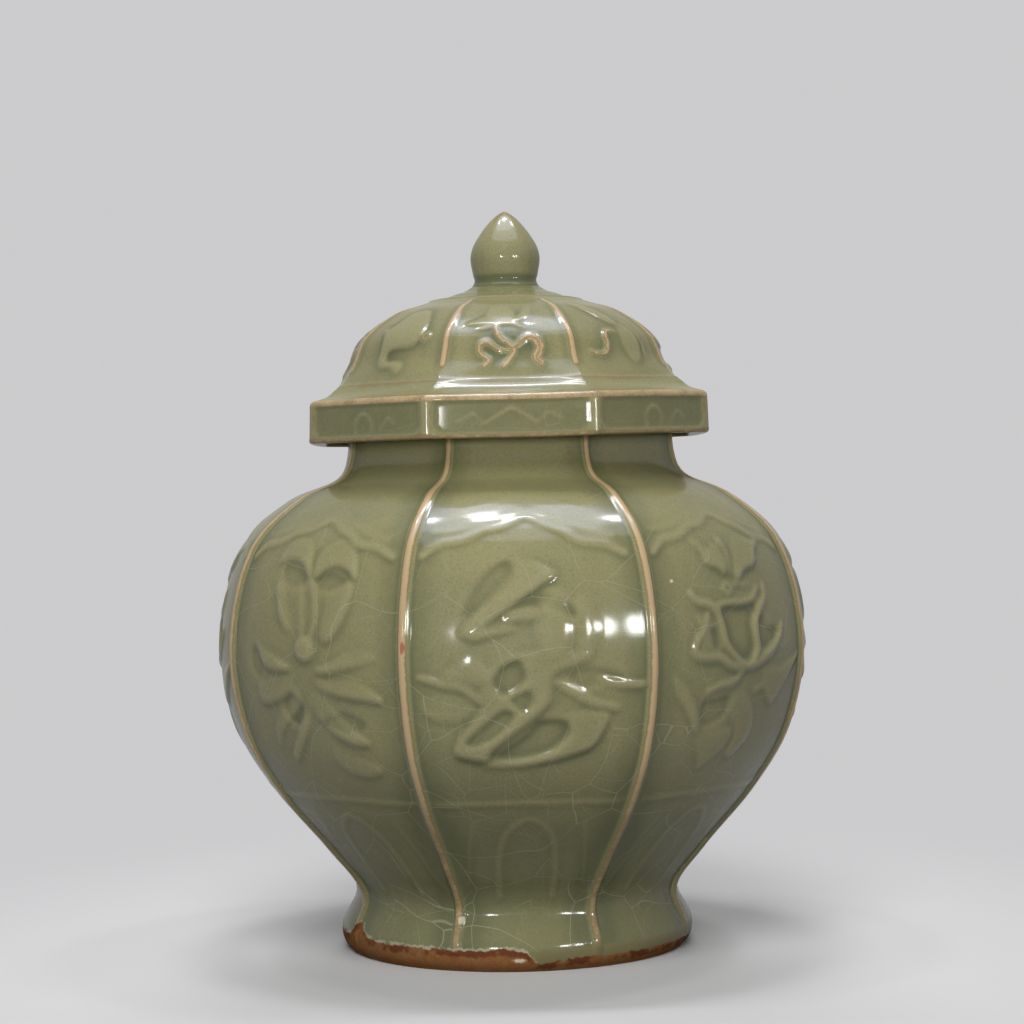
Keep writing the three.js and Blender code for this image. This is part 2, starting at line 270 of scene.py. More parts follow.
@dataclass(frozen=True)
class Stroke:
    """A stroke of a panel's ornament, in millimetres across and up the panel, sunk where negative.

    Its width runs from the first value over the second to the third along its length. A step is
    steep on the right of its way and runs out on the left.
    """

    points: tuple[Point, ...]
    widths: tuple[float, float, float] = (1.5, 2.5, 1.5)
    height: float = 0.8
    cut: Cut = Cut.ROUND

    def spine(self, profile: Profile, steps: int = 5) -> Array:
        """The centre line on the unrolled panel: a cubic through the points with even parameter steps.

        Args:
            profile: The wall's profile.
            steps: Steps of the line between two points.

        Returns:
            Rows of distance across the panel and length up the wall.
        """
        knots = np.array(self.points, dtype=float)
        places = np.arange(len(knots), dtype=float)
        if len(knots) > 2:
            wanted = np.linspace(0, len(knots) - 1, steps * (len(knots) - 1) + 1)
            knots = through(knots, np.gradient(knots, places, axis=0), wanted, places)
        return np.stack([knots[:, 0], profile.along_at(knots[:, 1])], axis=1)

    def outline(self, profile: Profile) -> Array:
        """Points that bound the stroke, for finding the rows that it can reach.

        Args:
            profile: The wall's profile.

        Returns:
            Rows like those of the centre line.
        """
        line = self.spine(profile)
        reach = max(self.widths)
        return np.concatenate([line - reach, line + reach])

    def section(self, q: Array, side: Array) -> Array:
        """Height across the stroke, as a share of its full height.

        A band has soft sides and a dip along its middle. A step is steep on one side and runs out
        on the other. A round back is one less the square of the distance, to a power.

        Args:
            q: Distance from the centre line in half widths.
            side: 1 on the left of the line's way and -1 on its right.

        Returns:
            The shares.
        """
        if self.cut is Cut.BAND:
            return soft_fall(*BAND_SIDE, q) * (1.0 - BAND_DIP + BAND_DIP * np.minimum(q, 1.0) ** 2)
        if self.cut is Cut.STEP:
            step = smooth_step(*STEP_FRONT, q * side) * soft_fall(*STEP_BACK, q * side)
            return step * soft_fall(*STEP_END, q)
        return np.clip(1.0 - q * q, 0.0, 1.0) ** ROUND_POWER

    def rise(self, across: Array, along: Array, profile: Profile) -> Array:
        """Height at each point of the unrolled panel, from its distance to the centre line.

        Args:
            across: Distance from the panel's middle line, in millimetres.
            along: Length up the wall, in millimetres.
            profile: The wall's profile.

        Returns:
            Heights, in millimetres.
        """
        line = self.spine(profile)
        share = length_along(line[:, 0], line[:, 1])
        share = share / share[-1]
        best = np.full(across.shape, np.inf)
        place = np.zeros(across.shape)
        side = np.ones(across.shape)
        for start, end, low, high in zip(line[:-1], line[1:], share[:-1], share[1:]):
            t, gap = segment_gap(start, end, across, along)
            turn = (end[0] - start[0]) * (along - start[1]) - (end[1] - start[1]) * (across - start[0])
            nearer = gap < best
            best = np.where(nearer, gap, best)
            place = np.where(nearer, low + t * (high - low), place)
            side = np.where(nearer, np.sign(turn), side)
        q = best / (0.5 * np.interp(place, (0.0, 0.5, 1.0), self.widths))
        return self.height * self.section(q, side)

    def mirrored(self) -> "Stroke":
        """The same stroke turned over about the panel's middle line."""
        points = tuple((-x, y) for x, y in self.points)
        return Stroke(points[::-1], self.widths[::-1], self.height, self.cut)


@dataclass(frozen=True)
class Patch:
    """A leaf or petal with a closed outline, raised, or sunk where its height is negative.

    Its edge slopes over a width. It stands full on the side that it faces, given in degrees from
    the panel's right, and a good part lower on the other.
    """

    points: tuple[Point, ...]
    height: float = 0.8
    slope: float = 1.6
    facing: float | None = None

    def outline(self, profile: Profile, steps: int = 4) -> Array:
        """The outline on the unrolled panel: a closed cubic through the points.

        Args:
            profile: The wall's profile.
            steps: Steps of the outline between two points.

        Returns:
            Rows of distance across the panel and length up the wall.
        """
        knots = np.array(self.points + self.points[:1], dtype=float)
        slopes = 0.5 * (np.roll(knots[:-1], -1, 0) - np.roll(knots[:-1], 1, 0))
        slopes = np.concatenate([slopes, slopes[:1]])
        places = np.arange(len(knots), dtype=float)
        wanted = np.linspace(0, len(knots) - 1, steps * (len(knots) - 1) + 1)[:-1]
        loop = through(knots, slopes, wanted, places)
        return np.stack([loop[:, 0], profile.along_at(loop[:, 1])], axis=1)

    def rise(self, across: Array, along: Array, profile: Profile) -> Array:
        """Height at each point of the unrolled panel, from its distance inside the outline.

        Args:
            across: Distance from the panel's middle line, in millimetres.
            along: Length up the wall, in millimetres.
            profile: The wall's profile.

        Returns:
            Heights, in millimetres.
        """
        loop = self.outline(profile)
        nearest = np.full(across.shape, np.inf)
        inside = np.zeros(across.shape, dtype=bool)
        for start, end in zip(loop, np.roll(loop, -1, 0)):
            nearest = np.minimum(nearest, segment_gap(start, end, across, along)[1])
            dx, dy = end - start
            if dy:
                crossing = start[0] + (along - start[1]) * dx / dy
                inside ^= ((start[1] > along) != (end[1] > along)) & (across < crossing)
        depth = np.where(inside, nearest, -nearest)
        shape = smooth_step(PATCH_EDGE[0] * self.slope, PATCH_EDGE[1] * self.slope, depth)
        if self.facing is not None:
            turn = math.radians(self.facing)
            way = across * math.cos(turn) + along * math.sin(turn)
            ends = loop @ np.array([math.cos(turn), math.sin(turn)])
            shape *= graded(way, (ends.min(), ends.max()), (PATCH_FAR_SIDE, 1.0))
        return self.height * shape

    def mirrored(self) -> "Patch":
        """The same patch turned over about the panel's middle line."""
        facing = None if self.facing is None else 180.0 - self.facing
        return Patch(tuple((-x, y) for x, y in self.points), self.height, self.slope, facing)


Motif = tuple[Stroke | Patch, ...]


def mirrored(motif: Motif) -> Motif:
    """A panel's ornament turned over about its middle line."""
    return tuple(part.mirrored() for part in motif)


@dataclass(frozen=True)
class RingGrid:
    """The columns of a wall all the way round: their angle and their place in their panel."""

    per_panel: int
    crowding: float = 0.2

    @property
    def angle(self) -> Array:
        """Angle of each column, crowded towards the ribs by a sine.

        Returns:
            One angle for each column.
        """
        t = np.arange(PANELS * self.per_panel) / self.per_panel
        crowded = t - self.crowding * np.sin(2 * math.pi * t) / (2 * math.pi)
        return (crowded - 0.5) * PANEL_ANGLE

    @property
    def local(self) -> Array:
        """Angle of each column from the middle of its panel."""
        return self.angle - np.arange(PANELS * self.per_panel) // self.per_panel * PANEL_ANGLE

    def from_corner(self, profile: Profile) -> Array:
        """Distance round the surface from each point to the nearest corner of the octagon."""
        return (PANEL_ANGLE / 2 - np.abs(self.local))[None, :] * profile.radius[:, None]

    def reach(self, profile: Profile) -> Array:
        """Distance of each point from the nearest corner in half widths of its rib."""
        return self.from_corner(profile) / profile.rib_half_width[:, None]

    def ribs(self, profile: Profile) -> Array:
        """Height of the raised ribs: a round-topped ridge with steep sides at each corner.

        Args:
            profile: The wall's profile.

        Returns:
            Heights over the ring grid, in millimetres.
        """
        q = self.reach(profile)
        crown = np.sqrt(np.clip(1.0 - RIB_CROWN * q * q, 0.0, 1.0))
        return profile.rib[:, None] * crown * soft_fall(*RIB_SIDE, q)

    def ornament(self, profile: Profile, motifs: list[Motif]) -> Array:
        """Height of the moulded ornament: in each panel its highest part, less its deepest hollow.

        Args:
            profile: The wall's profile.
            motifs: The ornament of each panel, from the front one to the right.

        Returns:
            Heights over the ring grid, in millimetres.
        """
        out = np.zeros((len(profile.radius), PANELS * self.per_panel))
        along = np.repeat(profile.along[:, None], self.per_panel, axis=1)
        for panel, motif in enumerate(motifs):
            columns = slice(panel * self.per_panel, (panel + 1) * self.per_panel)
            across = profile.radius[:, None] * self.local[None, columns]
            raised = np.zeros(across.shape)
            sunk = np.zeros(across.shape)
            for part in motif:
                reach = part.outline(profile)[:, 1]
                rows = (profile.along > reach.min() - MARGIN) & (profile.along < reach.max() + MARGIN)
                rise = part.rise(across[rows], along[rows], profile)
                raised[rows] = np.maximum(raised[rows], rise)
                sunk[rows] = np.minimum(sunk[rows], rise)
            out[:, columns] = raised + sunk
        return out


def ring_points(radius: Array, angle: Array, height: Array) -> Array:
    """Points of a ring grid: radius times sine, minus radius times cosine, and height."""
    z = np.broadcast_to(height[:, None] if height.ndim == 1 else height, radius.shape)
    return np.stack([radius * np.sin(angle), -radius * np.cos(angle), z], axis=-1)


def grid_normals(points: Array) -> Array:
    """Outward directions of a ring grid: the cross product of its steps round and its steps up.

    Args:
        points: The points, as rows of rings.

    Returns:
        A direction of length 1 for each point.
    """
    round_step = np.roll(points, -1, 1) - np.roll(points, 1, 1)
    up_step = np.gradient(points, axis=0)
    normal = np.cross(round_step, up_step)
    return normal / np.maximum(np.linalg.norm(normal, axis=-1, keepdims=True), TINY)


def placed(name: str, data: bpy.types.ID, place: Matrix | None = None) -> bpy.types.Object:
    """Puts a new object into the scene.

    Args:
        name: The object's name.
        data: Its mesh, lamp or camera.
        place: Where it stands and how it is turned, if not at the origin and unturned.

    Returns:
        The object.
    """
    thing = bpy.data.objects.new(name, data)
    if place is not None:
        thing.matrix_world = place
    bpy.context.collection.objects.link(thing)
    return thing


@dataclass
class Marks:
    """What the finish reads at each point of a shell.

    Thin tells how far the glaze has run off a rib or edge; crest how far off low ornament, plus painted
    light on the jar's neck, less some towards the foot as painted shade; pool how deep it lies, plus
    painted shade under raised forms, beside the ribs, towards the foot and on the cover's crown; edge how
    many millimetres a point lies above the glaze's lower edge, starved where it dried yellow, cream and
    rust where a drop or a burnt spot sits.
    """

    thin: Array
    crest: Array
    pool: Array
    edge: Array
    starved: Array
    cream: Array
    rust: Array

    @classmethod
    def plain(cls, shape: tuple[int, int], edge: Array | float = GLAZED) -> "Marks":
        """Marks of an even coat."""
        values = {name: np.zeros(shape) for name in cls.__dataclass_fields__}
        return cls(**values | {"edge": np.broadcast_to(edge, shape).astype(float)})

    def rows(self, chosen: slice) -> "Marks":
        """The marks of some of the rows."""
        return Marks(**{name: values[chosen] for name, values in vars(self).items()})

    def followed_by(self, other: "Marks") -> "Marks":
        """These rows and then another's."""
        pairs = zip(vars(self).items(), vars(other).values())
        return Marks(**{name: np.concatenate([these, those]) for (name, these), those in pairs})


@dataclass
class Shell:
    """A closed surface made of rings, each ring a row of points all the way round."""

    name: str
    points: Array
    marks: Marks
    closed: bool = False
    normals: Array | None = None

    def faces(self) -> tuple[Array, Array]:
        """Four-sided faces between neighbouring rings, and three-sided ones round each pole.

        Returns:
            The quads and the triangles, as rows of point numbers.
        """
        rows, columns = self.points.shape[:2]
        r = np.arange(rows if self.closed else rows - 1)[:, None]
        c = np.arange(columns)[None, :]
        after = (r + 1) % rows
        following = (c + 1) % columns
        corners = [r * columns + c, r * columns + following, after * columns + following, after * columns + c]
        quads = np.stack(corners, axis=-1).reshape(-1, 4)
        if self.closed:
            return quads, np.zeros((0, 3), dtype=int)
        first = rows * columns
        last = (rows - 1) * columns
        c = np.arange(columns)
        following = (c + 1) % columns
        low = np.stack([np.full(columns, first), following, c], axis=1)
        high = np.stack([np.full(columns, first + 1), last + c, last + following], axis=1)
        return quads, np.concatenate([low, high])

    def with_poles(self, grid: Array) -> Array:
        """A grid's rows end to end and, where its ends close at poles, the means of both."""
        flat = grid.reshape(-1, *grid.shape[2:])
        return flat if self.closed else np.concatenate([flat, [grid[0].mean(0), grid[-1].mean(0)]])

    def build(self, body: str, slot: str, material: bpy.types.Material) -> bpy.types.Object:
        """Makes the mesh object, with its attributes and finish, and lets it ride on a body.

        Args:
            body: Name of the body that the piece belongs to.
            slot: Name of its finish's slot; not used.
            material: The finish.

        Returns:
            The new object.
        """
        points = self.with_poles(self.points)
        quads, triangles = self.faces()
        mesh = bpy.data.meshes.new(self.name)
        mesh.vertices.add(len(points))
        mesh.vertices.foreach_set("co", (points * MM).astype(np.float32).ravel())
        corners = np.concatenate([quads.ravel(), triangles.ravel()])
        sizes = np.concatenate([np.full(len(quads), 4), np.full(len(triangles), 3)])
        mesh.loops.add(len(corners))
        mesh.loops.foreach_set("vertex_index", corners.astype(np.int32))
        mesh.polygons.add(len(sizes))
        starts = np.concatenate([[0], np.cumsum(sizes)[:-1]])
        mesh.polygons.foreach_set("loop_start", starts.astype(np.int32))
        mesh.update(calc_edges=True)
        mesh.shade_smooth()
        for name, grid in vars(self.marks).items():
            layer = mesh.attributes.new(name, "FLOAT", "POINT")
            layer.data.foreach_set("value", self.with_poles(grid).astype(np.float32))
        if self.normals is not None:
            mesh.normals_split_custom_set_from_vertices(self.normals.reshape(-1, 3).tolist())
        mesh.materials.append(material)
        piece = placed(self.name, mesh)
        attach(piece, body)
        LOG.info("%s: %d triangles", self.name, 2 * len(quads) + len(triangles))
        return piece


class Value:
    """A shader socket that Python arithmetic works on, each operator adding a Math node."""

    def __init__(self, paint: "Paint", socket: bpy.types.NodeSocket) -> None:
        """Wraps a socket of a paint's node tree."""
        self.paint = paint
        self.socket = socket

    def math(self, operation: str, *inputs: "Value | float") -> "Value":
        """One Math node on this value and further ones."""
        sockets = dict(enumerate((self, *inputs)))
        return self.paint.value("ShaderNodeMath", {"operation": operation}, sockets)

    def __add__(self, other: "Value | float") -> "Value":
        """Sum."""
        return self.math("ADD", other)

    __radd__ = __add__

    def __mul__(self, other: "Value | float") -> "Value":
        """Product."""
        return self.math("MULTIPLY", other)

    __rmul__ = __mul__

    def __sub__(self, other: "Value | float") -> "Value":
        """Difference."""
        return self.math("SUBTRACT", other)

    def __rsub__(self, other: float) -> "Value":
        """Difference with the number first."""
        return self.paint.value("ShaderNodeMath", {"operation": "SUBTRACT"}, {0: other, 1: self})

    def step(self, low: float, high: float) -> "Value":
        """A soft step from 0 at low to 1 at high."""
        settings = {"interpolation_type": "SMOOTHSTEP"}
        return self.paint.value("ShaderNodeMapRange", settings, {0: self, 1: low, 2: high, 3: 0.0, 4: 1.0})

    def clamped(self) -> "Value":
        """The value kept from 0 to 1."""
        return self.math("MAXIMUM", 0.0).math("MINIMUM", 1.0)

    def swing(self, amount: float) -> "Value":
        """How far the value departs from a half, times an amount."""
        return (self - 0.5) * amount

    def near(self, centre: float, falls: Span) -> "Value":
        """1 round a centre, falling to 0 where the distance from it crosses a span."""
        return 1.0 - (self - centre).math("ABSOLUTE").step(*falls)


class Paint:
    """A node tree under construction, of a material or of the world."""

    def __init__(self, tree: bpy.types.NodeTree, output: str) -> None:
        """Empties the tree and adds its output node."""
        self.tree = tree
        self.tree.nodes.clear()
        self.output = self.tree.nodes.new(output)

    @classmethod
    def of(cls, block: bpy.types.Material | bpy.types.World) -> "Paint":
        """Starts the node tree of a new material or world."""
        block.use_nodes = True
        return cls(block.node_tree, f"ShaderNodeOutput{type(block).__name__}")

    def node(self, kind: str, settings: dict | None = None, inputs: dict | None = None) -> bpy.types.Node:
        """Adds a node.

        Args:
            kind: The node's type.
            settings: Properties set on it first.
            inputs: Values, colours or links by socket name or number.

        Returns:
            The node.
        """
        node = self.tree.nodes.new(kind)
        for key, setting in (settings or {}).items():
            setattr(node, key, setting)
        for key, given in (inputs or {}).items():
            if isinstance(given, Value):
                self.tree.links.new(given.socket, node.inputs[key])
            elif isinstance(given, bpy.types.NodeSocket):
                self.tree.links.new(given, node.inputs[key])
            elif isinstance(given, tuple) and len(given) == 3 and node.inputs[key].type == "RGBA":
                node.inputs[key].default_value = (*given, 1.0)
            else:
                node.inputs[key].default_value = given
        return node

    def value(self, kind: str, settings: dict | None = None, inputs: dict | None = None,
              out: int | str = 0) -> Value:
        """Adds a node and wraps one of its outputs as a value."""
        return Value(self, self.node(kind, settings, inputs).outputs[out])

    def surface(self, shader: bpy.types.Node) -> None:
        """Ends the tree in a shader."""
        self.tree.links.new(shader.outputs[0], self.output.inputs[0])

    def mixed(self, share: Value, low: bpy.types.Node, high: bpy.types.Node) -> bpy.types.Node:
        """Mixes two shaders by a share from 0 to 1."""
        return self.node("ShaderNodeMixShader", None, {0: share, 1: low.outputs[0], 2: high.outputs[0]})

    def attribute(self, name: str) -> Value:
        """A number stored on the mesh's points."""
        return self.value("ShaderNodeAttribute", {"attribute_name": name}, out="Fac")

    def place(self) -> bpy.types.NodeSocket:
        """Object coordinates, in metres."""
        return self.node("ShaderNodeTexCoord").outputs["Object"]

    def seen(self) -> Value:
        """1 for the rays that show a surface to the eye, straight, in a gloss or through glass.

        Returns:
            The share, 0 or 1.
        """
        path = self.node("ShaderNodeLightPath")
        names = ("Is Camera Ray", "Is Glossy Ray", "Is Transmission Ray")
        straight, gloss, glass = (Value(self, path.outputs[name]) for name in names)
        return (straight + gloss + glass).clamped()

    def blend(self, share: Value, low: "Colour | bpy.types.NodeSocket",
              high: "Colour | bpy.types.NodeSocket") -> bpy.types.NodeSocket:
        """Mixes two colours by a share from 0 to 1."""
        return self.node("ShaderNodeMix", {"data_type": "RGBA"}, {0: share, 6: low, 7: high}).outputs[2]


@dataclass(frozen=True)
class Noise:
    """Noise from 0 to 1: its features' size in millimetres, its octaves, and an offset in metres.

    The offset gives another noise of the same kind.
    """

    size: float
    detail: float
    shift: float = 0.0
    way: tuple[float, float, float] = (1.0, 0.37, -0.61)
    roughness: float = 0.55

    def value(self, paint: Paint) -> Value:
        """The noise, on moved Object coordinates.

        Args:
            paint: The node tree.

        Returns:
            Its value.
        """
        shift = tuple(self.shift * share for share in self.way)
        moved = paint.node("ShaderNodeVectorMath", {"operation": "ADD"}, {0: paint.place(), 1: shift})
        inputs = {"Vector": moved.outputs[0], "Scale": 1.0 / (self.size * MM)}
        inputs |= {"Detail": self.detail, "Roughness": self.roughness}
        return paint.value("ShaderNodeTexNoise", {"noise_dimensions": "3D"}, inputs, "Fac")


@dataclass(frozen=True)
class Crackle:
    """A net of hair cracks: its cell, line width and bend in millimetres, and its share of the colour.

    It lies in patches, where a noise crosses a span.
    """

    cell: float
    width: float
    share: float
    bend: float
    spread: Span
    bend_scale: float = 22.0
    bend_detail: float = 1.5
    core: float = 0.25
    patch_size: float = 2.2
    patch_shift: float = 0.01

    def lines(self, paint: Paint) -> Value:
        """1 on the lines where two cells of a bent Voronoi pattern meet, in patches of the surface.

        Args:
            paint: The node tree.

        Returns:
            The lines, times the net's share.
        """
        bends = {"Vector": paint.place(), "Scale": self.bend_scale, "Detail": self.bend_detail}
        bend = paint.node("ShaderNodeTexNoise", None, bends).outputs["Color"]
        push = {0: bend, 1: (self.bend * MM,) * 3, 2: paint.place()}
        bent = paint.node("ShaderNodeVectorMath", {"operation": "MULTIPLY_ADD"}, push).outputs[0]
        cells = {"feature": "DISTANCE_TO_EDGE", "voronoi_dimensions": "3D"}
        where = {"Vector": bent, "Scale": 1.0 / (self.cell * MM)}
        away = paint.value("ShaderNodeTexVoronoi", cells, where, "Distance")
        line = 1.0 - away.step(self.core * self.width / self.cell, self.width / self.cell)
        patches = Noise(self.patch_size * self.cell, 1.0, self.patch_shift * self.cell).value(paint)
        return line * patches.step(*self.spread) * self.share


@dataclass(frozen=True)
class Celadon:
    """Sage green celadon glaze over a burnt stoneware body, with its bare and thin places.

    A span is where a soft step begins and ends. Light and dark amounts tell how much the grain and
    the speck swing a colour, wear amounts how much the grain and the mottle swing the thin places.
    Drop and burn amounts weigh a spot and the grain on it.
    """

    name: str = "celadon"
    glaze: Colour = (0.248, 0.242, 0.117)
    warm: Colour = (0.276, 0.256, 0.116)
    # Deep glaze green, also used for painted shade under raised forms, beside the ribs, towards the foot and
    # on the cover's crown.
    pooled: Colour = (0.100, 0.112, 0.048)
    # Pale glaze on crests, also used for painted light on the jar's neck.
    crested: Colour = (0.315, 0.295, 0.150)
    amber: Colour = (0.245, 0.185, 0.083)
    buff: Colour = (0.51, 0.375, 0.20)
    starved: Colour = (0.20, 0.175, 0.078)
    crack: Colour = (0.46, 0.45, 0.32)
    burnt: Colour = (0.272, 0.094, 0.029)
    russet: Colour = (0.150, 0.050, 0.022)
    flame: Colour = (0.36, 0.135, 0.068)
    cream: Colour = (0.68, 0.60, 0.44)

    mottle: Noise = Noise(5.0, 3.0, 0.2)
    grain: Noise = Noise(0.9, 2.0, 0.7)
    speck: Noise = Noise(0.65, 1.5, 0.9)
    clouds: Noise = Noise(38.0, 3.0)
    fine_rag: Noise = Noise(2.2, 4.0, 0.5)
    broad_rag: Noise = Noise(9.0, 1.0, 0.1)
    lip_breaks: Noise = Noise(5.0, 2.0, 0.8)
    scorches: Noise = Noise(7.0, 2.0, 0.6)
    ripple: Noise = Noise(9.0, 1.0, 0.35)

    clouded: Span = (0.35, 0.68)
    mottling: float = 0.3
    light_amounts: Span = (0.9, 1.9)
    dark_amounts: Span = (-0.6, -1.0)
    wear_amounts: Span = (0.4, 0.5)
    amber_from: Span = (0.16, 0.46)
    buff_from: Span = (0.44, 0.86)
    starved_mottling: float = 0.8
    sound_from: Span = (110.0, 175.0)
    sound_share: float = 0.7
    cracks: tuple[Crackle, ...] = (
        Crackle(26.0, 0.16, 0.4, 30.0, (0.3, 0.5)),
        Crackle(13.0, 0.13, 0.24, 17.0, (0.42, 0.6)),
    )

    rag_amounts: Span = (2.8, 1.6)
    bare_from: Span = (-0.12, 0.12)
    lip_height: float = 0.3
    lip_falls: Span = (0.15, 0.7)
    lip_broken: Span = (0.36, 0.56)
    lip_share: float = 0.42
    scorch_height: float = -1.0
    scorch_falls: Span = (0.7, 2.0)
    scorched: Span = (0.4, 0.55)
    body_grain: Span = (0.3, 0.7)
    body_mottle: Span = (0.4, 0.7)
    body_shares: Span = (0.4, 0.3)
    drop_amounts: Span = (1.4, 1.2)
    drop_from: Span = (0.45, 0.8)
    burn_amounts: Span = (1.3, 1.4)
    burn_from: Span = (0.4, 0.8)

    gloss: float = 0.38
    gloss_mottling: float = 0.08
    bare_gloss: float = 0.4
    coat: float = 0.38
    coat_gloss: float = 0.115
    coat_ior: float = 1.75
    ior: float = 1.45
    specular: float = 0.05
    ripple_height: float = 1.1
    bare_grain: float = 1.4
    lip_dip: float = 0.25
    bump_strength: float = 0.3
    bump_distance: float = 0.4

    def glazed(self, paint: Paint, mottle: Value, grain: Value) -> bpy.types.NodeSocket:
        """Colour of the glazed surface: pools, crests, ribs run thin, cracks and dried places, with painted
        shade laid on through the pool mark and painted light through the crest mark.

        Args:
            paint: The node tree.
            mottle: The mottle's noise.
            grain: The grain's noise.

        Returns:
            The colour.
        """
        thin, crest, pool, starved = (paint.attribute(n) for n in ("thin", "crest", "pool", "starved"))
        mottled = mottle.swing(self.mottling)
        speck = self.speck.value(paint)
        light = grain.swing(self.light_amounts[0]) + speck.swing(self.light_amounts[1])
        dark = grain.swing(self.dark_amounts[0]) + speck.swing(self.dark_amounts[1])
        colour = paint.blend(self.clouds.value(paint).step(*self.clouded), self.glaze, self.warm)
        # Crest lightens the glaze; on the neck this is painted light, and its lack towards the foot is
        # painted shade.
        colour = paint.blend((crest + mottled).clamped(), colour, self.crested)
        colour = paint.blend(light.clamped(), colour, self.crested)
        colour = paint.blend(dark.clamped(), colour, self.pooled)
        # Pool darkens the glaze; under raised forms, beside the ribs, towards the foot and on the crown this
        # is painted shade.
        colour = paint.blend((pool + mottled).clamped(), colour, self.pooled)
        height = paint.value("ShaderNodeSeparateXYZ", None, {0: paint.place()}, "Z")
        sound = height.step(self.sound_from[0] * MM, self.sound_from[1] * MM) * self.sound_share
        for net in self.cracks:
            colour = paint.blend(net.lines(paint) * (1.0 - sound), colour, self.crack)
        worn = thin + grain.swing(self.wear_amounts[0]) + mottle.swing(self.wear_amounts[1])
        colour = paint.blend(worn.step(*self.amber_from), colour, self.amber)
        colour = paint.blend(worn.step(*self.buff_from), colour, self.buff)
        dried = starved + mottle.swing(self.starved_mottling) * starved
        return paint.blend(dried.clamped(), colour, self.starved)

    def body(self, paint: Paint, mottle: Value, grain: Value, ragged: Value) -> bpy.types.NodeSocket:
        """Colour of the bare clay: burnt, amber in grains and russet where it is scorched at the edge.

        Args:
            paint: The node tree.
            mottle: The mottle's noise.
            grain: The grain's noise.
            ragged: Height above the glaze's ragged edge, in millimetres.

        Returns:
            The colour.
        """
        amber = grain.step(*self.body_grain) * self.body_shares[0]
        amber = amber + mottle.step(*self.body_mottle) * self.body_shares[1]
        scorched = ragged.near(self.scorch_height, self.scorch_falls)
        scorched = scorched * self.scorches.value(paint).step(*self.scorched)
        return paint.blend(scorched, paint.blend(amber, self.burnt, self.amber), self.russet)

    def material(self) -> bpy.types.Material:
        """Builds the finish: one surface shader whose colour, gloss and bumps vary over the piece.

        Returns:
            The material.
        """
        material = bpy.data.materials.new(self.name)
        paint = Paint.of(material)
        edge, cream, rust, starved = (paint.attribute(n) for n in ("edge", "cream", "rust", "starved"))
        mottle, grain = self.mottle.value(paint), self.grain.value(paint)

        ragged = edge
        for noise, amount in zip((self.fine_rag, self.broad_rag), self.rag_amounts):
            ragged = ragged + noise.value(paint).swing(amount)
        bare = 1.0 - ragged.step(*self.bare_from)
        lip = ragged.near(self.lip_height, self.lip_falls) * (1.0 - starved)
        lip = lip * self.lip_breaks.value(paint).step(*self.lip_broken)

        colour = self.glazed(paint, mottle, grain)
        colour = paint.blend(bare, colour, self.body(paint, mottle, grain, ragged))
        colour = paint.blend(lip * self.lip_share, colour, self.cream)
        drop = cream * self.drop_amounts[0] + grain.swing(self.drop_amounts[1]) * cream
        colour = paint.blend(drop.step(*self.drop_from), colour, self.cream)
        burn = rust * self.burn_amounts[0] + grain.swing(self.burn_amounts[1]) * rust
        colour = paint.blend(burn.step(*self.burn_from), colour, self.flame)

        rough = mottle.swing(self.gloss_mottling) + self.gloss + bare * self.bare_gloss
        relief = self.ripple.value(paint) * self.ripple_height + grain * bare * self.bare_grain
        relief = relief - lip * self.lip_dip
        bumps = {"Strength": self.bump_strength, "Distance": self.bump_distance * MM, "Height": relief}
        shader = paint.node(
            "ShaderNodeBsdfPrincipled",
            None,
            {
                "Base Color": colour,
                "Roughness": rough.clamped(),
                "Normal": paint.node("ShaderNodeBump", None, bumps).outputs[0],
                "IOR": self.ior,
                "Specular IOR Level": self.specular,
                "Coat Weight": (1.0 - bare) * self.coat,
                "Coat Roughness": self.coat_gloss,
                "Coat IOR": self.coat_ior,
            },
        )
        paint.surface(shader)
        return material


def mouldings(crowns: Motif) -> Motif:
    """The bracket arches, the border and the lappets that every panel has, and its own motif.

    Args:
        crowns: The panel's own motif.

    Returns:
        All the ornament of the panel.
    """
    lappet = Stroke(
        ((-9.6, 26), (-10, 40), (-8.6, 49), (-4.6, 54), (0, 56), (4.6, 54), (8.6, 49), (10, 40), (9.6, 26)),
        (3.6, 3.6, 3.6), 0.28,
    )
    posts = tuple(Stroke(((x, 28), (x, 44), (0.96 * x, 55)), (1.4, 2.4, 1.4), 0.18) for x in (-20.5, 20.5))
    border = Stroke(((-34, 61.4), (0, 62), (34, 61.4)), (3.4, 3.4, 3.4), 0.28)
    return ARCHES + (lappet, border) + posts + crowns


ARCHES = (
    Stroke(((-36, 146), (-30, 149.8), (-22, 151), (-15, 154), (-8, 155.2), (0, 158.3), (8, 155.2),
        (14, 152.9), (19, 150), (27, 149), (34, 146)), (4.6, 5.2, 4.6), 0.5, Cut.STEP),
    Stroke(((-31, 153.4), (-24, 154), (-17, 156), (-9, 157.4), (0, 160.2), (9, 157.6), (17, 155),
        (23, 152.8), (30, 151.2)), (4.4, 5.4, 4.4), 0.2, Cut.STEP),
    Stroke(((-22, 160.4), (-10, 163.4), (0, 165), (10, 163.6), (21, 160.6)), (3.0, 4.0, 3.0), 0.07),
)

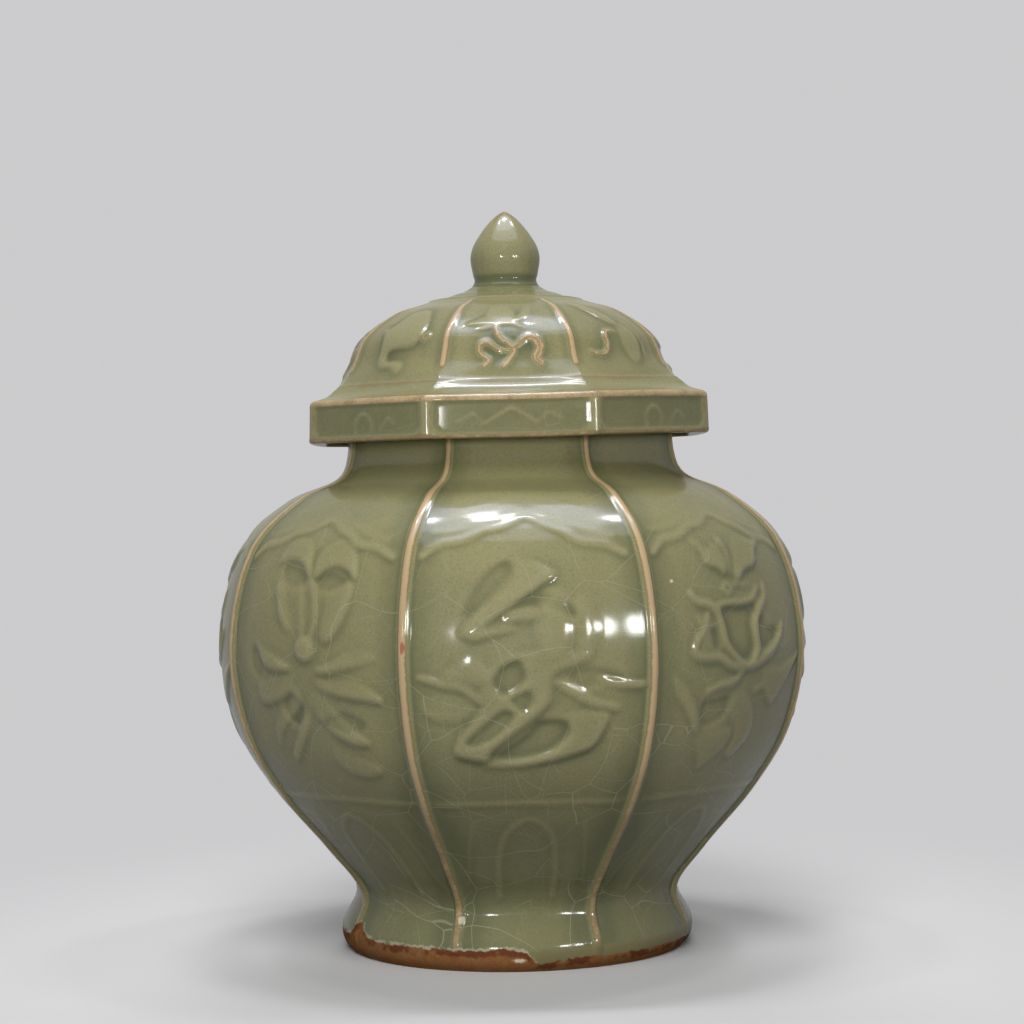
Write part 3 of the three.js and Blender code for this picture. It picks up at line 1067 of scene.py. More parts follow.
LEAF_AND_RIBBON = mouldings((
    Patch(((-4.5, 142.8), (1, 143.8), (6, 141.8), (9.8, 138.6), (4, 135), (-2, 130.8), (-8, 127.2),
        (-13, 123.6), (-18, 119.6), (-22.5, 119), (-23, 121.4), (-18, 126.2), (-12, 131.2), (-6.5, 135.5),
        (-4.3, 139)), 1.05, 1.8, -50),
    Patch(((-6.7, 144), (-13.2, 141), (-19.8, 133.4), (-22.8, 126.5), (-19.8, 125.2), (-14.3, 130),
        (-8, 136), (-4.8, 140.6)), -0.55, 2.6),
    Patch(((-22, 119.5), (-18, 122), (-12, 123.4), (-6, 123.4), (-5, 121), (-9, 119.8), (-14, 118.8),
        (-19, 117.6)), 0.8, 1.3, -90),
    Stroke(((-7, 125), (0, 126.4), (6, 125)), (4, 8, 4), 0.6),
    Stroke(((8.6, 129), (9.2, 121.4), (8.8, 114)), (14, 18, 14), 0.8),
    Stroke(((18, 128), (18.8, 121), (18.4, 114)), (10, 14, 10), 0.47),
    Patch(((-3.4, 130.6), (5.3, 133.4), (15.1, 129), (17, 125), (12.9, 124.8), (6, 127.6), (-4.5, 127.7)),
        -0.5, 2.6),
    Stroke(((-27, 105.6), (-20.5, 106.4), (-14, 105)), (8, 14, 8), 0.5),
    Patch(((-13.2, 108), (-18.1, 99.3), (-16.7, 94.9), (-24.1, 85.1), (-25.8, 79.6), (-20, 77.4),
        (-14.3, 77), (-12.6, 80.7), (2, 92), (6.6, 97.1), (7.2, 103.1), (9.6, 107), (19.5, 110.4),
        (21, 113), (13, 113.6), (0.9, 114.4), (-6.7, 112.6)), 1.05, 1.5, -60),
    Patch(((-4, 111.3), (-10, 109.1), (-12.7, 103.8), (-11.1, 100.4), (-7.8, 99.3), (-2.4, 102.6),
        (-1, 105.8), (-2.2, 109.1)), -0.95, 1.4),
    Patch(((-7.3, 98.2), (-2.4, 100.9), (0.6, 100.2), (1.2, 96.5), (-2.4, 93.4), (-5.6, 95.5)), -0.85, 1.3),
    Patch(((-8.9, 94.8), (-4.8, 92.6), (-10, 86.2), (-18.1, 82.1), (-22.4, 83.5), (-16, 89.6)), -0.8, 1.3),
    Patch(((3.1, 91), (11.8, 90.6), (12.9, 86.2), (6.4, 80.6), (-4.5, 78), (-11, 78.6), (-7.9, 81.8),
        (-1.4, 86.6)), -0.7, 1.6),
    Stroke(((-38, 106), (-30, 104), (-23, 102.6), (-17, 98)), (2, 5, 3), 0.6, Cut.STEP),
    Patch(((-38, 98), (-31, 100.5), (-24, 99.4), (-19, 95), (-23, 91), (-30, 90.4), (-36, 93)), 0.4, 2.4,
        -90),
    Patch(((10.7, 92.6), (19.5, 93.6), (27, 92.6), (25.6, 87.3), (21.6, 81.3), (15.1, 78.8), (6.4, 76.6),
        (-4.5, 75), (-16.5, 75), (-14, 77.2), (-2, 77.6), (7.5, 80.4), (13.5, 85.6), (13.4, 89)), 1.0, 1.5,
        -60),
    Stroke(((24, 104.6), (30, 103), (36, 102.2), (41, 102)), (2, 4, 2.5), 0.6, Cut.STEP),
    Stroke(((9, 103.6), (16, 99.8), (23, 96.4), (30, 94.6)), (2, 5, 3), 0.65, Cut.STEP),
    Patch(((12, 106), (20, 108.6), (29, 107), (33, 103.6), (26, 103), (18, 101)), -0.4, 2.2),
))

BELL_FLOWER = mouldings((
    Patch(((2.5, 147), (6, 149.8), (12, 149.4), (17, 148), (22.5, 148.6), (19, 146.2), (16, 144),
        (14.8, 141.2), (11, 138.8), (5.5, 137.7), (1.5, 134.8), (-0.8, 136), (0, 140.5), (1.2, 144)), 1.0,
        1.5, -60),
    Patch(((-5, 148.6), (-2.6, 149.6), (-0.6, 146.5), (0.4, 142.6), (-0.8, 138.5), (-2.8, 136.6),
        (-3.8, 140), (-3.4, 144.5)), 0.8, 1.2, 180),
    Patch(((-18.5, 149.6), (-14, 148.8), (-11.5, 145.6), (-8, 147.6), (-5.2, 147), (-4, 143), (-4.2, 139.5),
        (-5.5, 136.8), (-10, 139.2), (-14.5, 141), (-14.8, 144.5), (-17.5, 147.5)), 1.0, 1.5, -90),
    Stroke(((-9, 132), (-6.5, 133.8), (-4.4, 132), (-6.5, 130), (-9, 132)), (1.8, 1.8, 1.8), 0.7),
    Stroke(((-3, 132.6), (0, 134), (3, 132.8), (5.5, 133.5)), (1.5, 2, 1.5), 0.5),
    Stroke(((-13, 126.6), (-6, 127.4), (1, 127), (7, 128.6), (11, 131.8)), (1.8, 3, 2.2), 0.7, Cut.STEP),
    Stroke(((-25, 131.2), (-22.5, 128.4), (-17, 127), (-13.2, 123.8), (-11.4, 118.5), (-10.2, 113.6),
        (-6, 109.6), (-1, 106)), (2.8, 4.8, 3.6), 0.88),
    Stroke(((15.2, 132.2), (15, 128.6), (11, 125), (7.6, 121.6), (7.2, 116), (8, 111), (4.5, 106.5)),
        (2.8, 4.8, 3.6), 0.88),
    Stroke(((-18.6, 123.5), (-20.6, 119), (-24.6, 115), (-25.4, 111), (-21, 109.4), (-14, 109), (-9, 106.4),
        (-3, 104.6)), (2.6, 4.8, 3.2), 0.86),
    Stroke(((0, 105.4), (5, 105.8), (11, 108), (17, 110.8), (22, 114), (25, 118.4)), (3, 5.6, 2.8), 0.92,
        Cut.STEP),
    Patch(((-11.6, 125), (-3, 126.4), (6, 126.4), (9.4, 123.6), (5.6, 120), (5.8, 112), (3, 107.6),
        (-2, 107.4), (-7.6, 111.6), (-9.8, 118)), -0.75, 1.6),
    Patch(((-24, 124), (-19, 121.5), (-16, 121.5), (-13.5, 118), (-13, 111.6), (-17, 110.8), (-23.5, 112),
        (-22.6, 118)), 0.55, 1.8, 180),
    Patch(((-18, 118.4), (-15.4, 119.4), (-14, 116), (-14.2, 112.4), (-17.2, 112.6)), -0.55, 1.2),
    Patch(((9.5, 121), (12.4, 122.4), (15, 118.6), (21, 117.6), (20, 113), (13.4, 110), (9.8, 111.6),
        (9, 117)), -0.6, 1.4),
    Patch(((-21, 94), (-14, 95.4), (-7, 95.6), (-7.6, 89), (-14, 85.8), (-19.6, 86.4)), -0.55, 1.8),
    Patch(((-36, 105), (-30, 101), (-25, 95.5), (-21.5, 89.5), (-20.5, 83), (-24, 86.5), (-28.5, 92.5),
        (-33, 97)), 0.9, 1.6, -30),
    Patch(((41, 108.5), (36, 104), (30, 98.6), (24, 94), (19, 90.8), (15.5, 93), (12, 97.5), (11, 103.5),
        (16, 104.8), (24, 104), (32, 106)), 0.9, 1.8, -60),
    Stroke(((-19, 97.8), (-12, 100), (-6, 100.6), (-1, 104.4)), (2, 4.5, 2.5), 0.65, Cut.STEP),
    Stroke(((7, 96.6), (12, 98), (17, 97.4)), (2, 3, 2), 0.5, Cut.STEP),
    Patch(((-4, 97), (2, 95.4), (6, 91.8), (8.6, 86), (8.2, 80.5), (5, 76.8), (1.5, 73.6), (-2, 74.5),
        (-1, 80), (-3, 86), (-7, 91)), 0.7, 2.0, -20),
    Patch(((-21, 82.6), (-14, 83.4), (-6, 84.6), (-2.6, 83), (-4, 78), (-10, 73), (-14, 70.5), (-17, 75)),
        0.5, 2.0, -45),
))

TWIN_LOTUS = mouldings((
    Patch(((-18, 143), (-16.8, 148), (-12.5, 151.4), (-7, 151.6), (-2.5, 149.4), (-0.5, 145.8),
        (0.4, 141.4), (0.6, 138.4), (-4, 142.6), (-9, 144.6), (-14.5, 144.2)), 1.1, 1.6, -80),
    Patch(((2, 144.8), (5, 149), (9.5, 151.2), (14.5, 150), (18.8, 147), (21.4, 142), (21.8, 137.6),
        (17.5, 140.6), (12, 142.2), (7, 141), (2.8, 138.4)), 1.1, 1.6, -80),
    Patch(((-14, 142.6), (-9, 143), (-4, 140.8), (-0.4, 137.4), (-4, 134.6), (-10, 135.4), (-14.4, 138.6)),
        -0.4, 1.8),
    Patch(((3.6, 138), (9, 140.4), (14, 139.6), (18.6, 136.8), (16.6, 134.6), (11.4, 133.6), (6, 134.6)),
        -0.4, 1.8),
    Patch(((20.8, 137), (20.8, 130), (18.8, 124), (15.4, 119), (11, 116.4), (8.4, 120), (9.6, 126),
        (10, 131), (13.5, 136)), 1.0, 2.0, -30),
    Patch(((-6, 99.4), (-1.4, 95), (-1.6, 90.6), (-6, 87.6), (-11, 91.6), (-11.6, 96)), -0.6, 1.6),
    Patch(((-29, 114), (-24.6, 114.4), (-21.6, 109), (-22, 104.6), (-26.4, 104), (-29.6, 108)), -0.45, 1.8),
    Patch(((6, 89), (12, 92.4), (19, 93.4), (26, 90), (23, 86.4), (14, 86)), -0.4, 2.0),
    Patch(((-16.4, 136), (-14.8, 130), (-12.6, 124.6), (-7.6, 120), (-6, 124), (-8.6, 130), (-11, 135.5)),
        0.75, 1.8, 200),
    Stroke(((1.8, 137), (4.6, 131), (5.8, 124), (4.5, 118)), (2, 3.4, 2.2), 0.6),
    Stroke(((-4, 136), (-1.5, 128), (0, 119)), (1.5, 2.8, 2), 0.45),
    Patch(((-0.6, 110.4), (-2.8, 114), (-1, 118), (4.4, 118.4), (6.6, 114.2), (4, 110.4)), 0.9, 1.8),
    Patch(((-26.5, 116.5), (-22, 115), (-15, 112), (-8, 109.4), (-6, 107.2), (-13, 106.4), (-20, 107.6),
        (-24, 111)), 0.8, 1.5, -90),
    Patch(((-25.5, 101), (-20, 103.4), (-12, 104.8), (-5, 104.6), (-5.5, 100.6), (-12, 97), (-20, 94.6),
        (-24.6, 95.6)), 0.8, 1.5, -90),
    Patch(((6, 107.6), (13, 109.8), (21, 113.6), (28, 114.6), (33.5, 112), (27, 109.6), (18, 107.4),
        (10, 106)), 0.8, 1.5, -90),
    Patch(((6, 104.4), (14, 104), (24, 104.6), (32, 100.4), (34, 97), (26, 97.4), (16, 98.8), (8, 101)),
        0.9, 1.6, -90),
    Patch(((-1, 93), (1.2, 92), (-1, 86.6), (-6, 80.6), (-11.5, 75.5), (-12.5, 77.5), (-8.5, 83),
        (-4.5, 88.6)), 0.9, 1.4, -45),
    Patch(((-3, 101.6), (-2, 97.4), (-3, 94.4), (-9, 90), (-16, 84.4), (-19, 80), (-19.5, 86), (-14, 94),
        (-8, 100.4)), 0.7, 1.8, -45),
    Patch(((3, 100.4), (8, 99.4), (14, 93.6), (20, 88), (26, 83), (20, 81.6), (12, 85), (5, 91), (2, 96)),
        0.7, 1.8, -90),
    Patch(((10, 82), (16, 78.6), (24, 76.4), (27, 73), (20, 70.6), (12, 72.4), (8, 77)), 0.45, 1.8, -90),
))


@dataclass(frozen=True)
class Flaw:
    """A drop or a burnt spot: its angle in degrees, height, half widths and rise in millimetres."""

    angle: float
    height: float
    size: tuple[float, float]
    rise: float
    cream: float = 0.0
    rust: float = 0.0

    def share(self, angle: Array, profile: Profile) -> Array:
        """A bell of height 1 on the flaw: e to the minus sum of both distances in widths, squared.

        Args:
            angle: Angle of each column.
            profile: The wall's profile.

        Returns:
            The bell over the ring grid.
        """
        away = (angle - math.radians(self.angle))[None, :] * profile.radius[:, None]
        up = (profile.height - self.height)[:, None]
        return np.exp(-((away / self.size[0]) ** 2) - (up / self.size[1]) ** 2)


@dataclass(frozen=True)
class GlazeLine:
    """The glaze's lower edge round the foot: its height, its drop on the right and its bays.

    Angles are degrees to the right of the front. A bay has an angle, a width and a rise.
    """

    height: float = 7.8
    drop: float = 3.3
    drop_begins: Span = (-1.0, 3.0)
    drop_ends: Span = (120.0, 150.0)
    bays: tuple[tuple[float, float, float], ...] = ((5.0, 5.0, -1.4), (-65.5, 5.0, 4.6), (-8.0, 4.0, 0.8))

    def at(self, degrees: Array) -> Array:
        """Height of the edge at each angle, less the drop, with a bell for each bay."""
        dropped = smooth_step(*self.drop_begins, degrees) * soft_fall(*self.drop_ends, degrees)
        bays = sum(rise * bell(degrees, place, width) for place, width, rise in self.bays)
        return self.height - self.drop * dropped + bays


@dataclass(frozen=True)
class WallGlaze:
    """How the glaze lies on the wall: thin on the ribs, light on crests, deep beside both, with painted
    shade under raised forms, beside the ribs and towards the foot, and painted light on the neck.

    Blurs are passes of averages. Reaches count from a corner of the octagon in half widths of its
    rib. Levels are heights, and the pair before them holds the values below and above them.
    """

    line: GlazeLine = GlazeLine()
    bare_mouth: float = 0.9
    # Painted shade just below raised forms: how far up it looks for a higher form, in millimetres.
    lee_below: float = 1.4
    halo_blur: int = 14
    wide_blur: int = 80
    rib_reach: Span = (0.3, 1.1)
    rib_thin: Span = (0.62, 0.92)
    rib_levels: Span = (44.0, 78.0)
    shadow_begins: Span = (0.9, 1.4)
    shadow_ends: Span = (1.6, 7.0)
    shadow_depth: float = 0.45
    rib_foot: float = 1.3
    crest_relief: float = 0.5
    crest_lee: float = 0.25
    crest_brow: float = 2.3
    # Painted shade: crests lighten less towards the foot.
    crest_share: Span = (0.4, 1.0)
    crest_levels: Span = (45.0, 80.0)
    # Painted light on the neck under the cover's rim.
    collar: Span = (0.0, 0.6)
    collar_levels: Span = (174.0, 184.0)
    pool_lee: float = 0.55
    pool_relief: float = 0.3
    pool_brow: float = 1.4
    # Painted shade that darkens the glaze towards the foot.
    settled: Span = (0.42, 0.0)
    settled_levels: Span = (40.0, 95.0)
    deepest: float = 0.75
    starved_begins: Span = (0.0, 5.0)
    starved_ends: Span = (62.0, 80.0)
    starved_levels: Span = (7.4, 8.9)

    def marks(self, jar: "Jar", profile: Profile, ornament: Array, clay: Array) -> Marks:
        """Works out the marks of the wall's outside.

        Relief is the clay less its ornament widely blurred, brow the clay less a halo of itself, and the
        shade under forms how far the clay a little higher up stands out: painted shade just below each
        raised form.

        Args:
            jar: The jar, for its sizes, its columns and its flaws.
            profile: The wall's outside.
            ornament: Height of the ornament.
            clay: Height of ribs, ornament and flaws together.

        Returns:
            The marks of the outer rows.
        """
        marks = Marks.plain(clay.shape)
        height = profile.height[:, None]
        near, halo, wide = soften(clay, 1), soften(clay, self.halo_blur), soften(ornament, self.wide_blur)
        relief, brow = near - wide, near - halo
        # Painted shade: darker glaze just below each raised form.
        under_shade = np.clip(np.roll(near, -int(self.lee_below / jar.row_spacing), 0) - near, 0, 1)
        degrees = np.degrees((jar.grid.angle + math.pi) % (2 * math.pi) - math.pi)
        marks.edge = height - self.line.at(degrees)[None, :]
        marks.edge[profile.height > jar.mouth_height - self.bare_mouth] = BARE

        reach = jar.grid.reach(profile)
        standing = np.clip(profile.rib / jar.neck_rib, 0, 1)[:, None]
        beside = np.where(reach > self.rib_foot, 1.0, 0.0)
        shadow = smooth_step(*self.shadow_begins, reach) * soft_fall(*self.shadow_ends, reach) * standing
        marks.thin = soft_fall(*self.rib_reach, reach) * standing
        marks.thin = marks.thin * graded(height, self.rib_levels, self.rib_thin)

        crest = self.crest_relief * relief - self.crest_lee * under_shade + self.crest_brow * brow
        # Painted light on the neck.
        crest = np.clip(crest + graded(height, self.collar_levels, self.collar), 0, 1)
        # Painted shade: crests lighten less towards the foot.
        marks.crest = crest * beside * graded(height, self.crest_levels, self.crest_share)
        pool = (self.pool_lee * under_shade - self.pool_relief * relief - self.pool_brow * brow) * beside
        # Painted shade beside the ribs and towards the foot.
        pool = pool + self.shadow_depth * shadow + graded(height, self.settled_levels, self.settled)
        marks.pool = np.clip(pool, 0, self.deepest)

        starved = smooth_step(*self.starved_begins, degrees) * soft_fall(*self.starved_ends, degrees)
        marks.starved = starved * soft_fall(*self.starved_levels, height)
        for flaw in jar.flaws:
            share = flaw.share(jar.grid.angle, profile)
            marks.cream = np.maximum(marks.cream, flaw.cream * share)
            marks.rust = np.maximum(marks.rust, flaw.rust * share)
        return marks


@dataclass
class Jar:
    """The jar's wall in five courses, with their moulded ornament.

    A course has a name, the share of the mouth's height that it ends at, and the node it replaces.
    """

    belly_radius: float
    mouth_height: float
    rib_height: float = 1.5
    rib_half_width: float = 2.0
    neck_rib: float = 0.9
    neck_rib_half_width: float = 1.5
    body_flatness: float = 0.18
    neck_flatness: float = 0.6
    wall: float = 6.4
    lip_rounding: float = 1.6
    lip_rib: Span = (0.8, 0.1)
    row_spacing: float = 0.7
    relief: float = 1.15
    rib_clearance: Span = (0.0, 0.7)
    melt: int = 12
    inner_spacing: float = 5.0
    lip_inside: Point = (1.4, 2.0)
    seat_radius: float = 50.9
    foot_opening: float = 45.0
    foot_inner: float = 51.0
    heel: Point = (0.4, 0.3)
    shelf: float = 9.5
    disc_top: float = 15.1
    disc_bare: float = 1.0
    glaze: WallGlaze = WallGlaze()
    grid: RingGrid = field(default_factory=lambda: RingGrid(120))
    courses: tuple[tuple[str, float, str], ...] = (
        ("wall_foot", 0.225, "lower_wall"),
        ("wall_flank", 0.40, "lower_wall"),
        ("wall_waist", 0.573, "lower_wall"),
        ("wall_belly", 0.775, "upper_wall"),
        ("wall_neck", 1.0, "upper_wall"),
    )
    flaws: tuple[Flaw, ...] = (
        Flaw(-22.6, 115.4, (1.5, 2.6), -0.25, rust=1.0),
        Flaw(-21.4, 17.8, (1.3, 1.5), 0.8, cream=1.0),
        Flaw(27.8, 135.5, (1.0, 0.6), 0.15, cream=0.9),
        Flaw(-2.5, 4.4, (4.0, 1.2), 0.0, cream=0.62),
        Flaw(-26.0, 7.6, (2.4, 0.9), 0.0, cream=0.75),
    )

    def profile(self) -> Profile:
        """The outside of the wall, from shares of the belly's radius and the mouth's height.

        Returns:
            The profile, a smooth curve through the levels that ends in the mouth's rounded lip.
        """
        body = (self.body_flatness, self.rib_height, self.rib_half_width)
        neck = (self.neck_flatness, self.neck_rib, self.neck_rib_half_width)
        # Share of the radius, share of the height, flatness, rib height and rib half width.
        levels = [
            (0.558, 0.0, 0.0, 0.0, self.rib_half_width),
            (0.579, 0.012, 0.0, 0.0, self.rib_half_width),
            (0.593, 0.043, 0.0, 0.45 * self.rib_height, self.rib_half_width),
            (0.557, 0.109, *body),
            (0.655, 0.187, *body),
            (0.829, 0.3, *body),
            (0.949, 0.412, *body),
            (1.0, 0.573, *body),
            (0.92, 0.749, *body),
            (0.757, 0.833, *body),
            (0.603, 0.873, *neck),
            (0.575, 0.912, *neck),
            (0.571, 1.0 - self.lip_rounding / self.mouth_height, *neck),
        ]
        knots = np.array(levels, dtype=float)
        knots[:, 0] *= self.belly_radius
        knots[:, 1] *= self.mouth_height
        rows = run_through(knots, self.row_spacing, smoothing=8)
        top = self.mouth_height
        lip = np.array(arc(rows[-1, :2], (rows[-1, 0], top), (rows[-1, 0] - self.lip_rounding, top), 4))[1:]
        rest = np.tile(rows[-1, 2:], (len(lip), 1))
        rest[:, 1] *= np.linspace(*self.lip_rib, len(lip))
        rows = np.concatenate([rows, np.concatenate([lip, rest], axis=1)])
        radius, height, flatness, rib, rib_half_width = rows.T
        return Profile(radius, height, np.clip(flatness, 0, 1), np.clip(rib, 0, None), rib_half_width)

    def motifs(self) -> list[Motif]:
        """The ornament of the eight panels, from the front one to the right."""
        right = [LEAF_AND_RIBBON, BELL_FLOWER, mirrored(TWIN_LOTUS), LEAF_AND_RIBBON]
        return right + [mirrored(BELL_FLOWER), mirrored(LEAF_AND_RIBBON), BELL_FLOWER, TWIN_LOTUS]

    def build(self, material: bpy.types.Material) -> None:
        """Works out the whole wall once and makes its courses, which share their rows and normals.

        Args:
            material: The finish.
        """
        profile = self.profile()
        angle = self.grid.angle
        ribs = self.grid.ribs(profile)
        ornament = soften(self.grid.ornament(profile, self.motifs()), 1)
        ornament *= self.relief * soft_fall(*self.rib_clearance, ribs)
        clay = ribs + ornament + sum(flaw.rise * flaw.share(angle, profile) for flaw in self.flaws)
        marks = self.glaze.marks(self, profile, ornament, clay)
        radius = profile.panel(self.grid.local) + under_glaze(clay, self.melt)
        outer = ring_points(radius, angle, profile.height)
        normals = grid_normals(outer)
        low = 0
        for name, level, node in self.courses:
            high = int(np.searchsorted(profile.height, level * self.mouth_height))
            high = min(high, len(profile.height) - 1)
            rows = slice(low, high + 1)
            inner = np.array(self.inside(profile, low, high))
            shape = (len(inner), len(angle))
            inner_points = ring_points(np.broadcast_to(inner[:, :1], shape), angle, inner[:, 1])
            bare = inner[:, 1] < self.disc_top - self.disc_bare
            bare |= inner[:, 1] > self.mouth_height - self.glaze.bare_mouth
            shell = Shell(
                name,
                np.concatenate([outer[rows], inner_points]),
                marks.rows(rows).followed_by(Marks.plain(shape, np.where(bare, BARE, GLAZED)[:, None])),
                closed=True,
                normals=np.concatenate([normals[rows], grid_normals(inner_points)]),
            )
            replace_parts(shell.build("jar", "jar_glaze", material), node)
            low = high

    def inside(self, profile: Profile, low: int, high: int) -> list[Point]:
        """The inside of a course from its top down, with the foot's underside or the mouth's rim.

        Args:
            profile: The wall's outside.
            low: The course's first row.
            high: The course's last row.

        Returns:
            Radius and height of each inner ring.
        """
        top = profile.height[high]
        bottom = profile.height[low] if low else self.disc_top + self.wall
        at_mouth = high == len(profile.height) - 1
        highest = top - self.lip_inside[1] if at_mouth else top
        heights = np.linspace(highest, bottom, max(3, int((highest - bottom) / self.inner_spacing)) + 1)
        middle = np.interp(heights, profile.height, profile.panel(np.array([0.0]))[:, 0])
        radii = np.minimum(middle - self.wall, self.belly_radius - 2 * self.wall)
        if at_mouth:
            radii = np.maximum(radii, radii[0])
        rings = [(float(r), float(z)) for r, z in zip(radii, heights)]
        if at_mouth:
            first = rings[0][0]
            rings = arc((first + self.lip_inside[0], top), (first, top), rings[0], 3)[:-1] + rings
        if low == 0:
            rings += [
                (self.seat_radius, self.disc_top),
                (self.seat_radius, self.shelf),
                (self.foot_opening, self.shelf),
                (self.foot_opening, self.shelf / 2),
                (self.foot_inner, self.heel[1]),
                (self.foot_inner + self.heel[0], 0.0),
            ]
        return rings


COVER_FLOWER = (
    Patch(((-7.6, 226.4), (-7.4, 229.6), (-5, 232.6), (-2, 232.6), (0.8, 231.4), (2.6, 228.8), (2.2, 226.2),
        (-1.5, 225.4), (-4.8, 225)), 0.62, 1.1, -90),
    Patch(((1.2, 225.8), (3.4, 225.6), (6.2, 227.2), (8.2, 230), (7.2, 232.6), (5.8, 230.6), (4, 228.4),
        (2, 227.4)), 0.8, 0.8, -90),
    Patch(((-15.6, 225), (-11, 226.8), (-6.6, 228.6), (-4.2, 227), (-4.4, 224.9), (-9, 224.6)), 0.95, 0.8,
        -90),
    Stroke(((-11, 223.2), (-8, 223.7), (-5, 224.4)), (1.5, 2.2, 1.4), 0.7),
    Stroke(((-2.8, 225), (1, 225.2), (5.6, 223.6)), (1.6, 2.6, 1.3), 0.9),
    Stroke(((-4.2, 224.8), (-4.1, 222), (-2.6, 219.6), (0.2, 217.8), (1.9, 215.8), (1.5, 213.8)),
        (2.4, 3.0, 2.4), 1.1),
    Stroke(((0.2, 215.2), (-3, 215.6), (-5.6, 217.2), (-8, 218.8), (-10.4, 217.4), (-10.4, 214.8),
        (-8.4, 213.2), (-7.3, 212), (-9, 209.8)), (2.0, 3.0, 2.6), 1.1),
    Stroke(((3.0, 217.2), (5.4, 219.4), (8, 220.3), (10.6, 218.4), (10.9, 215.4), (9.8, 212.8),
        (11.4, 210.8)), (2.0, 3.4, 2.8), 1.1, Cut.BAND),
    Stroke(((1.8, 214.6), (0.4, 212.8), (-0.6, 211.2), (-2.4, 209.6)), (2.2, 3.0, 2.2), 1.1),
)
COVER_GOURD = (
    Patch(((-3, 231), (4, 231.5), (8, 229), (11, 225), (11, 221), (8, 218), (2, 217.6), (-2.5, 216.8),
        (-3.5, 214.8), (-2, 212.8), (2, 212.8), (5.5, 212), (6, 210), (4, 208.6), (1, 210.3), (-2, 210.9),
        (-5.5, 210.8), (-8, 213.3), (-7.6, 217), (-8, 221), (-9, 224.3), (-6, 227)), 0.8, 1.3),
    Stroke(((13, 222.8), (14.8, 221.4), (13, 220), (11.4, 221.4), (13, 222.8)), (1.6, 1.6, 1.6), 0.9),
    Stroke(((-11.6, 224.6), (-10, 224.6), (-9, 223.4)), (1.4, 2.2, 1.4), 0.8),
)
COVER_SCROLL = (
    Patch(((-8.4, 233.2), (-3, 232.6), (1.4, 230), (4, 226.4), (1.8, 225.2), (-1.8, 227), (-5.4, 230)), 0.8,
        1.0),
    Patch(((2, 225), (6.4, 225.6), (10, 223), (10.8, 218), (9.4, 213), (5.8, 211), (3.2, 213), (1.2, 218)),
        0.8, 1.4, -60),
    Stroke(((-1.4, 222.6), (-4.8, 222.8), (-7, 221), (-7.2, 218.2), (-8.2, 215.4), (-11, 214),
        (-16, 214.8)), (2.4, 3.2, 2.0), 1.05),
    Stroke(((9, 226.4), (12.8, 221), (13.6, 214)), (1.4, 2.4, 1.4), 0.8),
)
RIM_CHEVRON = (
    Stroke(((-10.5, 189.4), (-3.5, 193.2), (0.5, 195), (4.5, 193.2), (10, 190)), (1.2, 1.8, 1.2), 0.3),
    Stroke(((-19, 190.4), (-14, 193.2), (-10.5, 190)), (1.0, 1.5, 1.0), 0.22),
    Stroke(((11, 190.8), (14.5, 193.4), (19, 191)), (1.0, 1.5, 1.0), 0.22),
)
RIM_ARCH = (
    Stroke(((-5, 187.6), (-5.4, 191.5), (-1, 194.6), (3.5, 191.8), (3.4, 187.6)), (1.2, 1.8, 1.2), 0.28),
    Stroke(((9, 189), (13, 192.6), (17, 190)), (1.0, 1.5, 1.0), 0.22),
)


